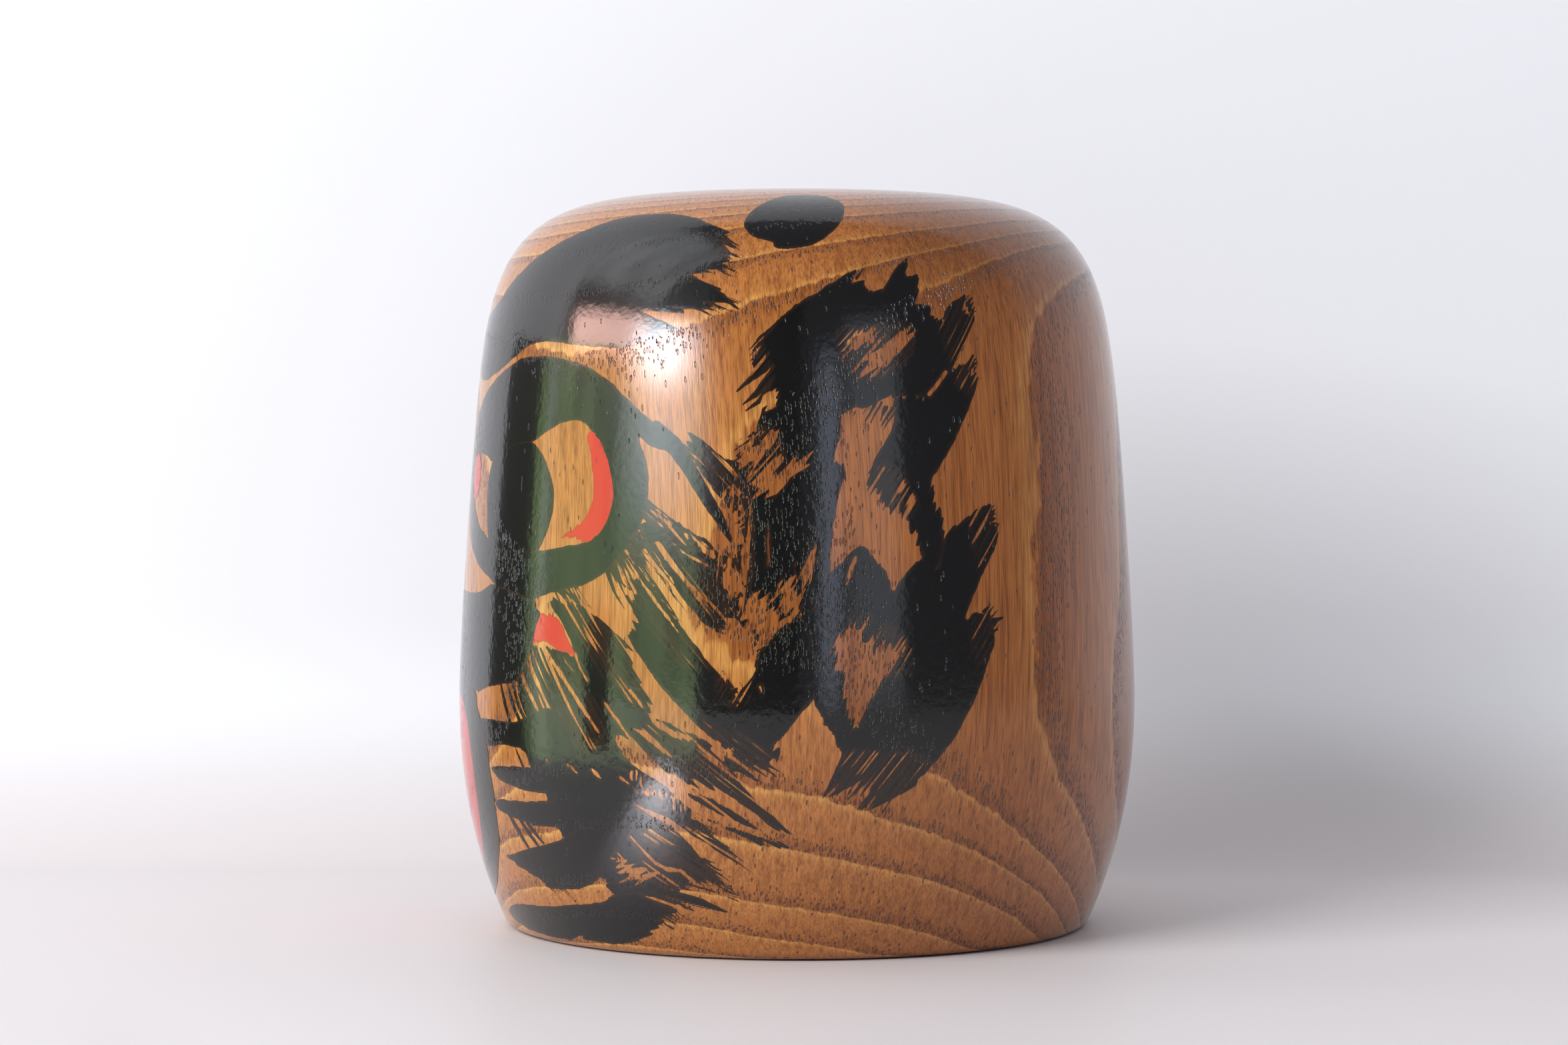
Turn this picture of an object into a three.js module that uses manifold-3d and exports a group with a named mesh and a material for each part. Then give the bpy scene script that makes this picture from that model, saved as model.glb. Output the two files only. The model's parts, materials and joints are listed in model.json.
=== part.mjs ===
// Daruma doll: one turned block of ring-porous hardwood with a hand-brushed face.
//
// Frame: millimetres, +Z up, origin at the centre of the standing face. The face looks along -Y,
// so the doll's own left side is +X. Each brushed mark is a thin layer of paint with a node of its
// own, lying on the wood. Marks are laid out on the unrolled skin: an angle round the axis, from
// the middle of the face towards the doll's left, and a distance walked up the skin from the floor.

import * as THREE from 'three';
import { mergeVertices } from 'three/addons/utils/BufferGeometryUtils.js';
import Module from 'manifold-3d';

const wasm = await Module();
wasm.setup();

// ---- turned block ---------------------------------------------------------------------------
const BODY_HEIGHT = 113.2;      // floor to crown
const BELLY_RADIUS = 52.6;      // widest turning
const BELLY_LEVEL = 36;         // height of the widest turning
const FOOT_RADIUS = 45.2;       // where the side meets the foot's bevel
const FOOT_BEVEL = 0.8;         // small bevel all round the standing face
const FOOT_CURVE = 2.25;        // power of the curve from foot to belly
const FLANK_TAPER = 5.6;        // how far the side leans in between belly and crown
const FLANK_CURVE = 1.31;       // power of that lean
const CROWN_RISE_POWER = 9.2;   // high power: long upright side, then a short round shoulder
const CROWN_ROUND_POWER = 4.65; // high power: flat crown
const RECESS_RADIUS = 34;       // hollow turned under the foot, so that the block stands on a ring
const RECESS_DEPTH = 1.2;

// ---- paint ----------------------------------------------------------------------------------
const PAINT_LIFT = 0.3;         // clear gap between wood and film
const PAINT_THICKNESS = 0.35;
const PAINT_SEPARATION = 0.35;  // clear gap between two films that meet on the doll
const CUTTER_DEPTH = 3;         // how far a stroke's cutter reaches either side of the skin

// ---- meshing --------------------------------------------------------------------------------
const TURN_SEGMENTS = 60;
const PROFILE_STEPS = 18;
const STROKE_STEP = 9;          // longest step along a stroke, mm

const WOOD = { color: 0xa8662f, roughness: 0.3, metalness: 0 };
const BLACK = { color: 0x1a1817, roughness: 0.25, metalness: 0 };
const RED = { color: 0xd23a2e, roughness: 0.3, metalness: 0 };

// Radius of the outside at height z.
function sideRadius(z) {
  if (z <= BELLY_LEVEL) {
    return FOOT_RADIUS + (BELLY_RADIUS - FOOT_RADIUS) * (1 - (1 - z / BELLY_LEVEL) ** FOOT_CURVE);
  }
  const t = Math.min(1, (z - BELLY_LEVEL) / (BODY_HEIGHT - BELLY_LEVEL));
  const flank = BELLY_RADIUS - FLANK_TAPER * t ** FLANK_CURVE;
  return flank * Math.max(0, 1 - t ** CROWN_RISE_POWER) ** (1 / CROWN_ROUND_POWER);
}

// The outside as a fine polyline from floor to crown, with the distance walked so far.
function walkSkin() {
  const fine = [];
  const count = 4000;
  for (let i = 0; i <= count; i++) {
    const z = BODY_HEIGHT * (1 - (1 - i / count) ** 3);
    fine.push({ r: sideRadius(z), z, s: 0 });
  }
  fine[count].r = 0;
  for (let i = 1; i <= count; i++) {
    fine[i].s = fine[i - 1].s + Math.hypot(fine[i].r - fine[i - 1].r, fine[i].z - fine[i - 1].z);
  }
  return fine;
}

const SKIN = walkSkin();
const SKIN_LENGTH = SKIN[SKIN.length - 1].s;

// Point and outward normal of the profile at walked distance s.
function skinAt(s) {
  const wanted = Math.min(Math.max(s, 0), SKIN_LENGTH);
  let low = 0;
  let high = SKIN.length - 1;
  while (high - low > 1) {
    const middle = (low + high) >> 1;
    if (SKIN[middle].s <= wanted) low = middle; else high = middle;
  }
  const a = SKIN[low];
  const b = SKIN[high];
  const k = (wanted - a.s) / (b.s - a.s);
  const length = b.s - a.s;
  return {
    r: a.r + (b.r - a.r) * k,
    z: a.z + (b.z - a.z) * k,
    nr: (b.z - a.z) / length,
    nz: -(b.r - a.r) / length,
  };
}

// Walked distances of the profile's stations: closer together where the profile bends.
function stations() {
  const samples = 600;
  const cost = [0];
  for (let i = 1; i <= samples; i++) {
    const p = skinAt(((i - 1) / samples) * SKIN_LENGTH);
    const q = skinAt((i / samples) * SKIN_LENGTH);
    const bend = Math.abs(Math.atan2(q.nz, q.nr) - Math.atan2(p.nz, p.nr));
    cost.push(cost[i - 1] + SKIN_LENGTH / samples + 45 * bend);
  }
  const found = [];
  for (let k = 1; k < PROFILE_STEPS; k++) {
    const wanted = (cost[samples] * k) / PROFILE_STEPS;
    const i = cost.findIndex((value) => value >= wanted);
    found.push((i / samples) * SKIN_LENGTH);
  }
  return found;
}

const STATIONS = stations();

// Three.js geometry from corner points and faces.
function geometryOf(points, faces) {
  const geometry = new THREE.BufferGeometry();
  geometry.setAttribute('position', new THREE.Float32BufferAttribute(points.flat(), 3));
  geometry.setIndex(faces.flat());
  return geometry;
}

// Turns an outline of [radius, height] round Z. The outline runs up the outside; it either starts
// and ends on the axis, or is closed by going back to its first point.
function turn(outline) {
  const points = outline.map(([r, z]) => new THREE.Vector2(r, z));
  return new THREE.LatheGeometry(points, TURN_SEGMENTS).rotateX(Math.PI / 2);
}

// Closed three.js geometry as a manifold solid: corners merged, faces shrunk to a line dropped.
function solidOf(geometry) {
  geometry.deleteAttribute('normal');
  geometry.deleteAttribute('uv');
  const merged = mergeVertices(geometry, 1e-5);
  const index = merged.index.array;
  const faces = [];
  for (let i = 0; i < index.length; i += 3) {
    const [a, b, c] = [index[i], index[i + 1], index[i + 2]];
    if (a !== b && b !== c && c !== a) faces.push(a, b, c);
  }
  return new wasm.Manifold(new wasm.Mesh({
    numProp: 3,
    vertProperties: new Float32Array(merged.attributes.position.array),
    triVerts: new Uint32Array(faces),
  }));
}

// Manifold solid as three.js geometry.
function geometryFrom(solid) {
  const mesh = solid.getMesh();
  const geometry = new THREE.BufferGeometry();
  geometry.setAttribute('position', new THREE.BufferAttribute(mesh.vertProperties, 3));
  geometry.setIndex(new THREE.BufferAttribute(mesh.triVerts, 1));
  geometry.computeVertexNormals();
  return geometry;
}

// Point at an angle round the axis and a distance up the skin, lifted off the skin.
function onSkin(angleDeg, s, lift) {
  const p = skinAt(s);
  const angle = THREE.MathUtils.degToRad(angleDeg);
  const r = p.r + p.nr * lift;
  return [r * Math.sin(angle), -r * Math.cos(angle), p.z + p.nz * lift];
}

// Stroke marks [angle, distance up, width] joined by a smooth curve, sampled evenly.
function sampleStroke(marks) {
  const curve = new THREE.CatmullRomCurve3(
    marks.map(([angle, up]) => new THREE.Vector3(angle, up, 0)), false, 'centripetal');
  const widths = marks.map((mark) => mark[2]);
  const count = marks.length - 1;
  const steps = [];
  for (let i = 0; i < count; i++) {
    const gap = Math.hypot((marks[i + 1][0] - marks[i][0]) * 0.87, marks[i + 1][1] - marks[i][1]);
    const pieces = Math.max(1, Math.ceil(gap / STROKE_STEP));
    for (let j = 0; j < pieces; j++) steps.push((i + j / pieces) / count);
  }
  steps.push(1);
  return steps.map((t) => {
    const point = curve.getPoint(t);
    const along = curve.getTangent(t);
    const k = Math.min(count - 1, Math.floor(t * count));
    const width = widths[k] + (widths[k + 1] - widths[k]) * (t * count - k);
    return { angle: point.x, up: point.y, dAngle: along.x, dUp: along.y, width };
  });
}

// Cutter of one stroke: a band as wide as the stroke that passes through the skin.
function strokeCutter(marks, grow) {
  const samples = sampleStroke(marks);
  const points = [];
  samples.forEach((sample, index) => {
    const millimetresPerDegree = (Math.PI / 180) * Math.max(10, skinAt(sample.up).r);
    const along = new THREE.Vector2(sample.dAngle * millimetresPerDegree, sample.dUp).normalize();
    const half = sample.width / 2 + grow;
    const isEnd = index === 0 ? -1 : index === samples.length - 1 ? 1 : 0;
    const x0 = sample.angle + (isEnd * grow * along.x) / millimetresPerDegree;
    const y0 = sample.up + isEnd * grow * along.y;
    for (const side of [-1, 0, 1]) {
      const angle = x0 + (-along.y * half * side) / millimetresPerDegree;
      const up = y0 + along.x * half * side;
      points.push(onSkin(angle, up, -CUTTER_DEPTH), onSkin(angle, up, CUTTER_DEPTH));
    }
  });
  const faces = [];
  const quad = (a, b, c, d) => faces.push([a, b, c], [a, c, d]);
  const last = samples.length - 1;
  for (let i = 0; i < last; i++) {
    const a = 6 * i;
    const b = a + 6;
    for (const side of [0, 2]) {
      quad(a + side + 1, b + side + 1, b + side + 3, a + side + 3);
      quad(a + side, a + side + 2, b + side + 2, b + side);
    }
    quad(a, b, b + 1, a + 1);
    quad(a + 4, a + 5, b + 5, b + 4);
  }
  for (const side of [0, 2]) {
    quad(side, side + 1, side + 3, side + 2);
    const e = 6 * last + side;
    quad(e, e + 2, e + 3, e + 1);
  }
  return solidOf(geometryOf(points, faces));
}

// Cutter of an oval: centre angle, centre distance up, half width in degrees, half height in mm.
function ovalCutter([angle, up, halfAngle, halfUp], grow) {
  const rim = 22;
  const points = [onSkin(angle, up, -CUTTER_DEPTH), onSkin(angle, up, CUTTER_DEPTH)];
  const extra = grow / ((Math.PI / 180) * skinAt(up).r);
  for (const share of [0.5, 1]) {
    for (let j = 0; j < rim; j++) {
      const turnAngle = (2 * Math.PI * j) / rim;
      const a = angle + Math.cos(turnAngle) * (halfAngle + extra) * share;
      const s = up + Math.sin(turnAngle) * (halfUp + grow) * share;
      points.push(onSkin(a, s, -CUTTER_DEPTH), onSkin(a, s, CUTTER_DEPTH));
    }
  }
  const faces = [];
  for (let j = 0; j < rim; j++) {
    const a = 2 + 2 * j;
    const b = 2 + 2 * ((j + 1) % rim);
    const c = a + 2 * rim;
    const d = b + 2 * rim;
    faces.push([1, a + 1, b + 1], [0, b, a]);
    faces.push([a + 1, c + 1, d + 1], [a + 1, d + 1, b + 1], [a, d, c], [a, b, d]);
    faces.push([c, d, d + 1], [c, d + 1, c + 1]);
  }
  return solidOf(geometryOf(points, faces));
}

// ---- the marks, on the doll's left half ------------------------------------------------------
// strokes: lists of [degrees from the middle of the face, mm up the skin, width in mm]
// ovals:   [degrees, mm up, half width in degrees, half height in mm]; holes are cut out again
const EYE_OUTSIDE = [36.5, 71, 26.5, 17.6];
const EYE_OPENING = [33, 69.2, 22.5, 9.6];

const PAIRED_MARKS = [
  { name: 'eye_rim', paint: BLACK, ovals: [EYE_OUTSIDE], holes: [EYE_OPENING],
    strokes: [[[58, 80.5, 5], [66, 77, 3.5], [71, 73, 3], [75, 69, 1.5]]] },
  { name: 'pupil', paint: BLACK, ovals: [[32.5, 69.2, 11, 9.1]] },
  { name: 'eye_red_outer', paint: RED,
    strokes: [[[49.5, 76.6, 0.8], [53, 73, 2.6], [54, 69, 3.2], [52, 65, 3], [46, 62.4, 0.8]]] },
  { name: 'eye_red_inner', paint: RED,
    strokes: [[[14, 74.5, 0.8], [13, 70.5, 2.4], [15, 66.5, 2.4], [19, 63, 0.8]]] },
  { name: 'brow', paint: BLACK, strokes: [
    [[2.5, 89.5, 7], [13, 90.7, 10], [23, 94.5, 14], [33, 98.2, 16.5], [43, 101, 19], [52, 103.5, 17],
      [60, 105.8, 12], [68, 105.7, 9], [77, 103, 1.5]],
    [[45, 97, 12], [52, 96.8, 9], [60, 97.2, 7], [68, 97.3, 4.5], [76, 96, 1]],
  ] },
  { name: 'crown_dot', paint: BLACK, ovals: [[87, 111.5, 10.5, 6.3]] },
  { name: 'ear', paint: BLACK, strokes: [
    [[79, 84, 4], [83, 89, 8], [89, 93.5, 9], [97, 96, 9], [105, 95, 9], [112, 93, 9], [120, 95.5, 1]],
    [[100, 97, 5], [108, 103, 0.8]],
    [[86, 93, 8], [90, 85, 9.5], [91, 77, 9.5], [91, 69, 8.5], [88.5, 62, 11], [90, 55, 7],
      [88.5, 48, 8], [84, 41, 9], [80, 35, 8], [77, 31, 3]],
    [[95, 85.5, 5], [104, 86, 5.5], [112, 88.5, 7]],
    [[120, 88, 1], [115, 84, 8], [110, 79, 11.5], [106, 72, 10], [108.5, 65, 5.5], [109.5, 59, 8],
      [113, 51, 11], [112, 43, 13], [107, 36, 11], [101, 32.5, 8], [95.5, 37, 6], [92.2, 44, 4.5],
      [92, 50, 5], [95, 55, 6], [100, 56.5, 7], [104, 53.5, 6], [110, 53, 6]],
    [[112, 58, 9], [117, 63, 6], [121.5, 66.5, 0.8]],
    [[101, 33, 6], [97, 25, 1]],
    [[104, 33, 6], [101, 24, 1]],
    [[116, 46, 8], [122, 50.5, 0.8]],
  ] },
  { name: 'whisker_upper', paint: BLACK, strokes: [
    [[55, 60.5, 4], [62, 57.5, 7], [69, 51.5, 8], [75, 45.5, 6], [78.5, 42.5, 1.5]],
    [[61, 63, 2.5], [69, 58.5, 2.5], [76.5, 53, 1]],
  ] },
  { name: 'whisker_middle', paint: BLACK, strokes: [
    [[47, 52, 2], [54, 46, 6], [60, 39.5, 7], [67, 33.5, 6.5], [73, 28.5, 7], [80, 25, 5], [87, 20.5, 1]],
  ] },
  { name: 'nostril_red', paint: RED, strokes: [[[40.5, 48.6, 4], [44, 48.2, 4.2], [48, 46.6, 1.5]]] },
  { name: 'whisker_lower', paint: BLACK, strokes: [
    [[40, 43.5, 2.5], [46, 38, 8], [51, 31, 13], [57, 25.5, 12], [64, 21.5, 9], [71, 17.5, 6], [77, 15, 1]],
  ] },
  { name: 'beard_upper', paint: BLACK, strokes: [[[27, 32.6, 3], [36, 32.8, 3.4], [43, 33, 3.4]]] },
  { name: 'beard_middle', paint: BLACK, strokes: [[[27.5, 26.5, 1], [36, 26, 2.4], [45, 25.8, 3]]] },
  { name: 'beard_lower', paint: BLACK, strokes: [[[27.5, 21, 3], [37, 21.2, 3], [46, 21, 3]]] },
  { name: 'chin_upper', paint: BLACK, strokes: [
    [[28, 13.8, 1], [36, 13.6, 4], [45, 14, 6.5], [53, 15, 6.5], [62, 14.2, 5.5], [70, 12, 1.5]],
  ] },
  { name: 'chin_lower', paint: BLACK, strokes: [
    [[21, 3.6, 1.4], [28, 4, 3.6], [38, 4.3, 5], [48, 4.8, 6], [57, 6.2, 6.5], [65, 8.6, 4], [75, 8, 0.8]],
  ] },
];

const MOUTH_OUTSIDE = [0, 22.5, 26, 17.3];
const MOUTH_OPENING = [0, 23.4, 17, 12.6];
const CENTRE_MARKS = [
  { name: 'nose', paint: BLACK,
    strokes: [[[-37, 46, 7.5], [-20, 46, 12], [0, 46, 13], [20, 46, 12], [37, 46, 7.5]]] },
  { name: 'mouth_rim', paint: BLACK, ovals: [MOUTH_OUTSIDE], holes: [MOUTH_OPENING] },
  { name: 'mouth_red', paint: RED, ovals: [MOUTH_OPENING] },
];

function mirrored(mark) {
  return {
    ...mark,
    strokes: (mark.strokes ?? []).map((marks) => marks.map(([a, s, w]) => [-a, s, w])),
    ovals: (mark.ovals ?? []).map(([a, ...rest]) => [-a, ...rest]),
    holes: (mark.holes ?? []).map(([a, ...rest]) => [-a, ...rest]),
  };
}

// Cutter of a whole mark, grown all round when it is used to keep a neighbour clear.
function markCutter(mark, grow) {
  const parts = [
    ...(mark.ovals ?? []).map((oval) => ovalCutter(oval, grow)),
    ...(mark.strokes ?? []).map((marks) => strokeCutter(marks, grow)),
  ];
  let cutter = parts[0];
  for (const part of parts.slice(1)) cutter = cutter.add(part);
  for (const hole of mark.holes ?? []) cutter = cutter.subtract(ovalCutter(hole, -grow));
  return cutter;
}

// ---- build -----------------------------------------------------------------------------------
const outside = STATIONS.map(skinAt);
const foot = skinAt(0);
const bodyOutline = [
  [0, RECESS_DEPTH],
  [RECESS_RADIUS, RECESS_DEPTH],
  [RECESS_RADIUS + RECESS_DEPTH, 0],
  [FOOT_RADIUS - FOOT_BEVEL, 0],
  [foot.r + (sideRadius(FOOT_BEVEL) - foot.r), FOOT_BEVEL],
  ...outside.filter((p) => p.z > 2 * FOOT_BEVEL).map((p) => [p.r, p.z]),
  [0, BODY_HEIGHT],
];

// The layer that all the paint is cut from: the same facets as the wood, lifted off it.
const lifted = (lift) => [skinAt(0.3), ...outside.filter((p) => p.z > 2 * FOOT_BEVEL)]
  .map((p) => [p.r + p.nr * lift, p.z + p.nz * lift]);
const layerOutline = [...lifted(PAINT_LIFT + PAINT_THICKNESS), ...lifted(PAINT_LIFT).reverse()];
const paintLayer = solidOf(turn([...layerOutline, layerOutline[0]]));

const doll = new THREE.Group();
doll.name = 'daruma_doll';

function addPart(name, geometry, look) {
  const mesh = new THREE.Mesh(geometry, new THREE.MeshStandardMaterial(look));
  mesh.name = name;
  doll.add(mesh);
}

addPart('turned_body', geometryFrom(solidOf(turn(bodyOutline))), WOOD);

const placed = [];
function addMark(mark, name) {
  let film = paintLayer.intersect(markCutter(mark, 0));
  for (const other of placed) {
    const common = film.intersect(other);
    if (common.volume() > 1e-6) film = film.subtract(other);
  }
  addPart(name, geometryFrom(film), mark.paint);
  placed.push(markCutter(mark, PAINT_SEPARATION));
}

for (const mark of PAIRED_MARKS) {
  addMark(mark, `${mark.name}_left`);
  addMark(mirrored(mark), `${mark.name}_right`);
}
for (const mark of CENTRE_MARKS) addMark(mark, mark.name);

export default doll;
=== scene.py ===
# %% [markdown]
# # A turned wooden daruma doll, brushed by hand
#
# The real doll is one block of ring-porous hardwood, turned on a lathe and lacquered clear. The
# face is then painted freehand with a broad brush in black and vermilion lacquer. This file makes
# the wood, the brush marks and the light, one step at a time. Everything is in metres, +Z is up,
# the face looks along -Y and +X is the doll's own left.

# %% Load the imported model and hang its parts on their bodies
import json
import math
import bpy
import numpy as np
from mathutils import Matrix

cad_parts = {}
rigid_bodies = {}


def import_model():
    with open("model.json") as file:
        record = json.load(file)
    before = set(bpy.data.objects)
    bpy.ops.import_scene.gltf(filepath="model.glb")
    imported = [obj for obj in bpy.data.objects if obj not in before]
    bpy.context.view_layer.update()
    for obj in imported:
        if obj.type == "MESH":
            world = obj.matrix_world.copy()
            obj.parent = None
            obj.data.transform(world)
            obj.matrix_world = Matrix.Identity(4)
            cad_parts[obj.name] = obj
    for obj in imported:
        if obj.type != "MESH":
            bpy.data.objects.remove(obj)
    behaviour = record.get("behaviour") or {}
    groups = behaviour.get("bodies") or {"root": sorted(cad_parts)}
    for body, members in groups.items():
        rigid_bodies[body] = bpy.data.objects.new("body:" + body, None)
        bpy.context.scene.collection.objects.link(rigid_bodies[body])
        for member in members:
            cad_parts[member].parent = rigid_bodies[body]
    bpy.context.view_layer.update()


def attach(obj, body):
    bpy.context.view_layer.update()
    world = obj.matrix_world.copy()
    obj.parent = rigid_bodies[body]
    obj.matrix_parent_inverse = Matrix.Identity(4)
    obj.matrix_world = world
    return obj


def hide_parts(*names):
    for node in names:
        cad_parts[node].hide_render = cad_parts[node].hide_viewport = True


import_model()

# %% [markdown]
# ## The turned outline
#
# A turner follows one outline: a small bevel at the foot, a curve out to the belly, a side that
# leans in a little, and a short round shoulder under a nearly flat crown. The same formula gave
# the CAD block, so the painted marks of both models lie on the same skin. A mark is laid out on
# the unrolled skin, by an angle round the axis and a distance walked up the skin from the floor.

# %% Outline and skin
MM = 0.001
BODY_HEIGHT, BELLY_RADIUS, BELLY_LEVEL = 113.2, 52.6, 36.0
FOOT_RADIUS, FOOT_BEVEL, FOOT_CURVE = 45.2, 0.8, 2.25
FLANK_TAPER, FLANK_CURVE = 5.6, 1.31
CROWN_RISE_POWER, CROWN_ROUND_POWER = 9.2, 4.65
RECESS_RADIUS, RECESS_DEPTH = 34.0, 1.2


def side_radius(z):
    """Radius at height z, mm: a power curve from foot to belly, then the belly radius less a
    power of the height above it, times a superellipse that closes the crown."""
    z = np.asarray(z, float)
    short_of_belly = np.abs(1 - z / BELLY_LEVEL) ** FOOT_CURVE
    low = FOOT_RADIUS + (BELLY_RADIUS - FOOT_RADIUS) * (1 - short_of_belly)
    t = np.clip((z - BELLY_LEVEL) / (BODY_HEIGHT - BELLY_LEVEL), 0, 1)
    close = np.maximum(0, 1 - t ** CROWN_RISE_POWER) ** (1 / CROWN_ROUND_POWER)
    return np.where(z <= BELLY_LEVEL, low, (BELLY_RADIUS - FLANK_TAPER * t ** FLANK_CURVE) * close)


# heights closer together toward the crown, where the outline turns fastest
skin_z = BODY_HEIGHT * (1 - (1 - np.linspace(0, 1, 6001)) ** 3)
skin_r = side_radius(skin_z)
skin_r[-1] = 0
skin_s = np.r_[0, np.cumsum(np.hypot(np.diff(skin_r), np.diff(skin_z)))]
slope = np.arctan2(-np.gradient(skin_r, skin_s), np.gradient(skin_z, skin_s))


def on_skin(angle, up, lift):
    """Point at angle degrees round the axis, up mm along the skin and lift mm off it, in metres:
    the outline's point at that walked distance, pushed out along its normal, then turned."""
    tilt = np.interp(up, skin_s, slope)
    r = np.interp(up, skin_s, skin_r) + lift * np.cos(tilt)
    z = np.interp(up, skin_s, skin_z) + lift * np.sin(tilt)
    turn = np.radians(angle)
    return np.stack([r * np.sin(turn), -r * np.cos(turn), z], -1) * MM


print("skin is", round(skin_s[-1], 1), "mm from floor to crown")

# %% [markdown]
# ## One helper for meshes, a few for nodes
#
# Every piece is an array of points and an array of faces. Every material is a handful of nodes:
# one function adds any node, with its settings and what feeds it, and a few short ones name the
# nodes that come up again and again.

# %% Helpers
def make_mesh(name, points, faces, material, slot, replaced):
    """Mesh object at the origin from an array of points and a list of face arrays, shaded smooth,
    riding on the root body in the place of one CAD node."""
    loops = np.concatenate([np.asarray(f, np.int32).ravel() for f in faces])
    corners = np.concatenate([np.full(len(f), f.shape[1], np.int32) for f in faces])
    mesh = bpy.data.meshes.new(name)
    mesh.vertices.add(len(points))
    mesh.vertices.foreach_set("co", np.asarray(points, np.float32).ravel())
    mesh.loops.add(len(loops))
    mesh.loops.foreach_set("vertex_index", loops)
    mesh.polygons.add(len(corners))
    mesh.polygons.foreach_set("loop_start", np.r_[0, np.cumsum(corners)[:-1]].astype(np.int32))
    mesh.polygons.foreach_set("use_smooth", np.ones(len(corners), bool))
    mesh.update(calc_edges=True)
    mesh.validate()
    piece = bpy.data.objects.new(name, mesh)
    bpy.context.scene.collection.objects.link(piece)
    mesh.materials.append(material)
    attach(piece, "root")
    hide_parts(replaced)
    return piece


def srgb(code):
    """sRGB hex to linear: a short straight part near black, a 2.4 power above it."""
    parts = np.array([int(code[i:i + 2], 16) for i in (1, 3, 5)]) / 255
    linear = np.where(parts <= 0.04045, parts / 12.92, ((parts + 0.055) / 1.055) ** 2.4)
    return (*linear.tolist(), 1.0)


def add(tree, kind, feeds=None, **settings):
    """Adds one node: settings are its properties, feeds are input values or sockets by name."""
    node = tree.nodes.new(kind)
    for key, value in settings.items():
        setattr(node, key, value)
    for key, value in (feeds or {}).items():
        if isinstance(value, bpy.types.NodeSocket):
            tree.links.new(value, node.inputs[key])
        else:
            node.inputs[key].default_value = value
    return node


def fresh_material(name):
    """A material with an empty tree, the tree, and where its shader goes in."""
    material = bpy.data.materials.new(name)
    material.use_nodes = True
    tree = material.node_tree
    tree.nodes.clear()
    return material, tree, tree.nodes.new("ShaderNodeOutputMaterial").inputs[0]


def maths(tree, operation, a, b=0.0, c=0.0):
    """Output of one Math node."""
    return add(tree, "ShaderNodeMath", {0: a, 1: b, 2: c}, operation=operation).outputs[0]


def vectors(tree, operation, a, b, c=(0, 0, 0)):
    """Output of one Vector Math node."""
    return add(tree, "ShaderNodeVectorMath", {0: a, 1: b, 2: c}, operation=operation).outputs[0]


def remap(tree, value, start, end, low=0.0, high=1.0, smooth=True):
    """Takes a value from start..end to low..high and holds it there, eased in and out if smooth."""
    return add(tree, "ShaderNodeMapRange", {"Value": value, 1: start, 2: end, 3: low, 4: high},
               interpolation_type="SMOOTHSTEP" if smooth else "LINEAR").outputs[0]


def mix(tree, share, under, over, blend="MIX"):
    """Colour output of one Mix node."""
    return add(tree, "ShaderNodeMix", {"Factor": share, 6: under, 7: over},
               data_type="RGBA", blend_type=blend).outputs[2]


def cloud(tree, place, detail, scale=1.0):
    """Outputs of one Noise Texture, which is 0..1 round 0.5."""
    return add(tree, "ShaderNodeTexNoise", {
        "Vector": place, "Scale": scale, "Detail": detail}).outputs


def xyz(tree, vector):
    """The three parts of a vector."""
    return add(tree, "ShaderNodeSeparateXYZ", {0: vector}).outputs


def ramp(tree, factor, stops):
    """Colour ramp with (place, colour) stops, straight from each to the next."""
    node = add(tree, "ShaderNodeValToRGB", {"Fac": factor})
    while len(node.color_ramp.elements) < len(stops):
        node.color_ramp.elements.new(0.5)
    for element, (place, colour) in zip(node.color_ramp.elements, stops):
        element.position = place
        element.color = colour
    return node.outputs["Color"]


# %% [markdown]
# ## How the timber is built
#
# The block keeps the tree's heart inside it, a few millimetres off the turning axis and leaning,
# so its growth rings run almost parallel to the turned side and come out on it as long nested
# contours. A ring-porous wood lays down large open vessels each spring, then dense wood, and
# closes the year with a thin pale band. The vessels run along the trunk: they are dashes on the
# side and dots on the crown. All of it is one solid pattern in Object coordinates, so the paint
# can repeat the same pores, which the lacquer never fills.

# %% Heart line, years and vessels
# The heart's place at height share u (0 at half height, 1 at the crown), mm: a constant, a slope
# and a bow, for the doll's left (x) and back (y).
HEART_X = (4.46, -3.84, 0.02)
HEART_Y = (-0.77, -0.79, -3.56)
HALF_HEIGHT = 56.0
WANDER_SIZE, WANDER = 28, 0.8        # mm, length and reach of the grain's slow wander
RAGGED = 0.3                         # mm, how far a ring's edge strays
SWELLING = 1.7                       # mm, how much further out the rings lie on the face side
SWELLS_TO_FACE = (-8.0, -44.0)       # y in mm, where the swelling starts and where it is full
SWELLS_DOWN = (92.0, 64.0)           # z in mm, the same
# distance from the heart in mm against years grown: about 2 mm a year, uneven near the bark
YEARS = [(0, 0), (9, 3.7), (20, 9.3), (30, 14.1), (38.5, 18), (40.8, 19), (43.7, 20), (45.5, 21),
         (46.9, 22), (48.9, 23), (51.1, 24), (53, 25), (60, 28)]
# sizes in mm across and along the trunk
VESSELS, RAGS, FINE_FIBRE, BROAD_FIBRE = (0.4, 1.35), (1.6, 4.5), (0.2, 6.0), (0.7, 22.0)
VESSEL_RIM = (0.42, 0.27)            # in cells, where a vessel's dip starts and where it is full
# place in the year against the share of vessels that are open
OPEN_SHARE = [(0.0, 1.0), (0.16, 0.9), (0.26, 0.28), (0.33, 0.04), (1.0, 0.02)]


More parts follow.
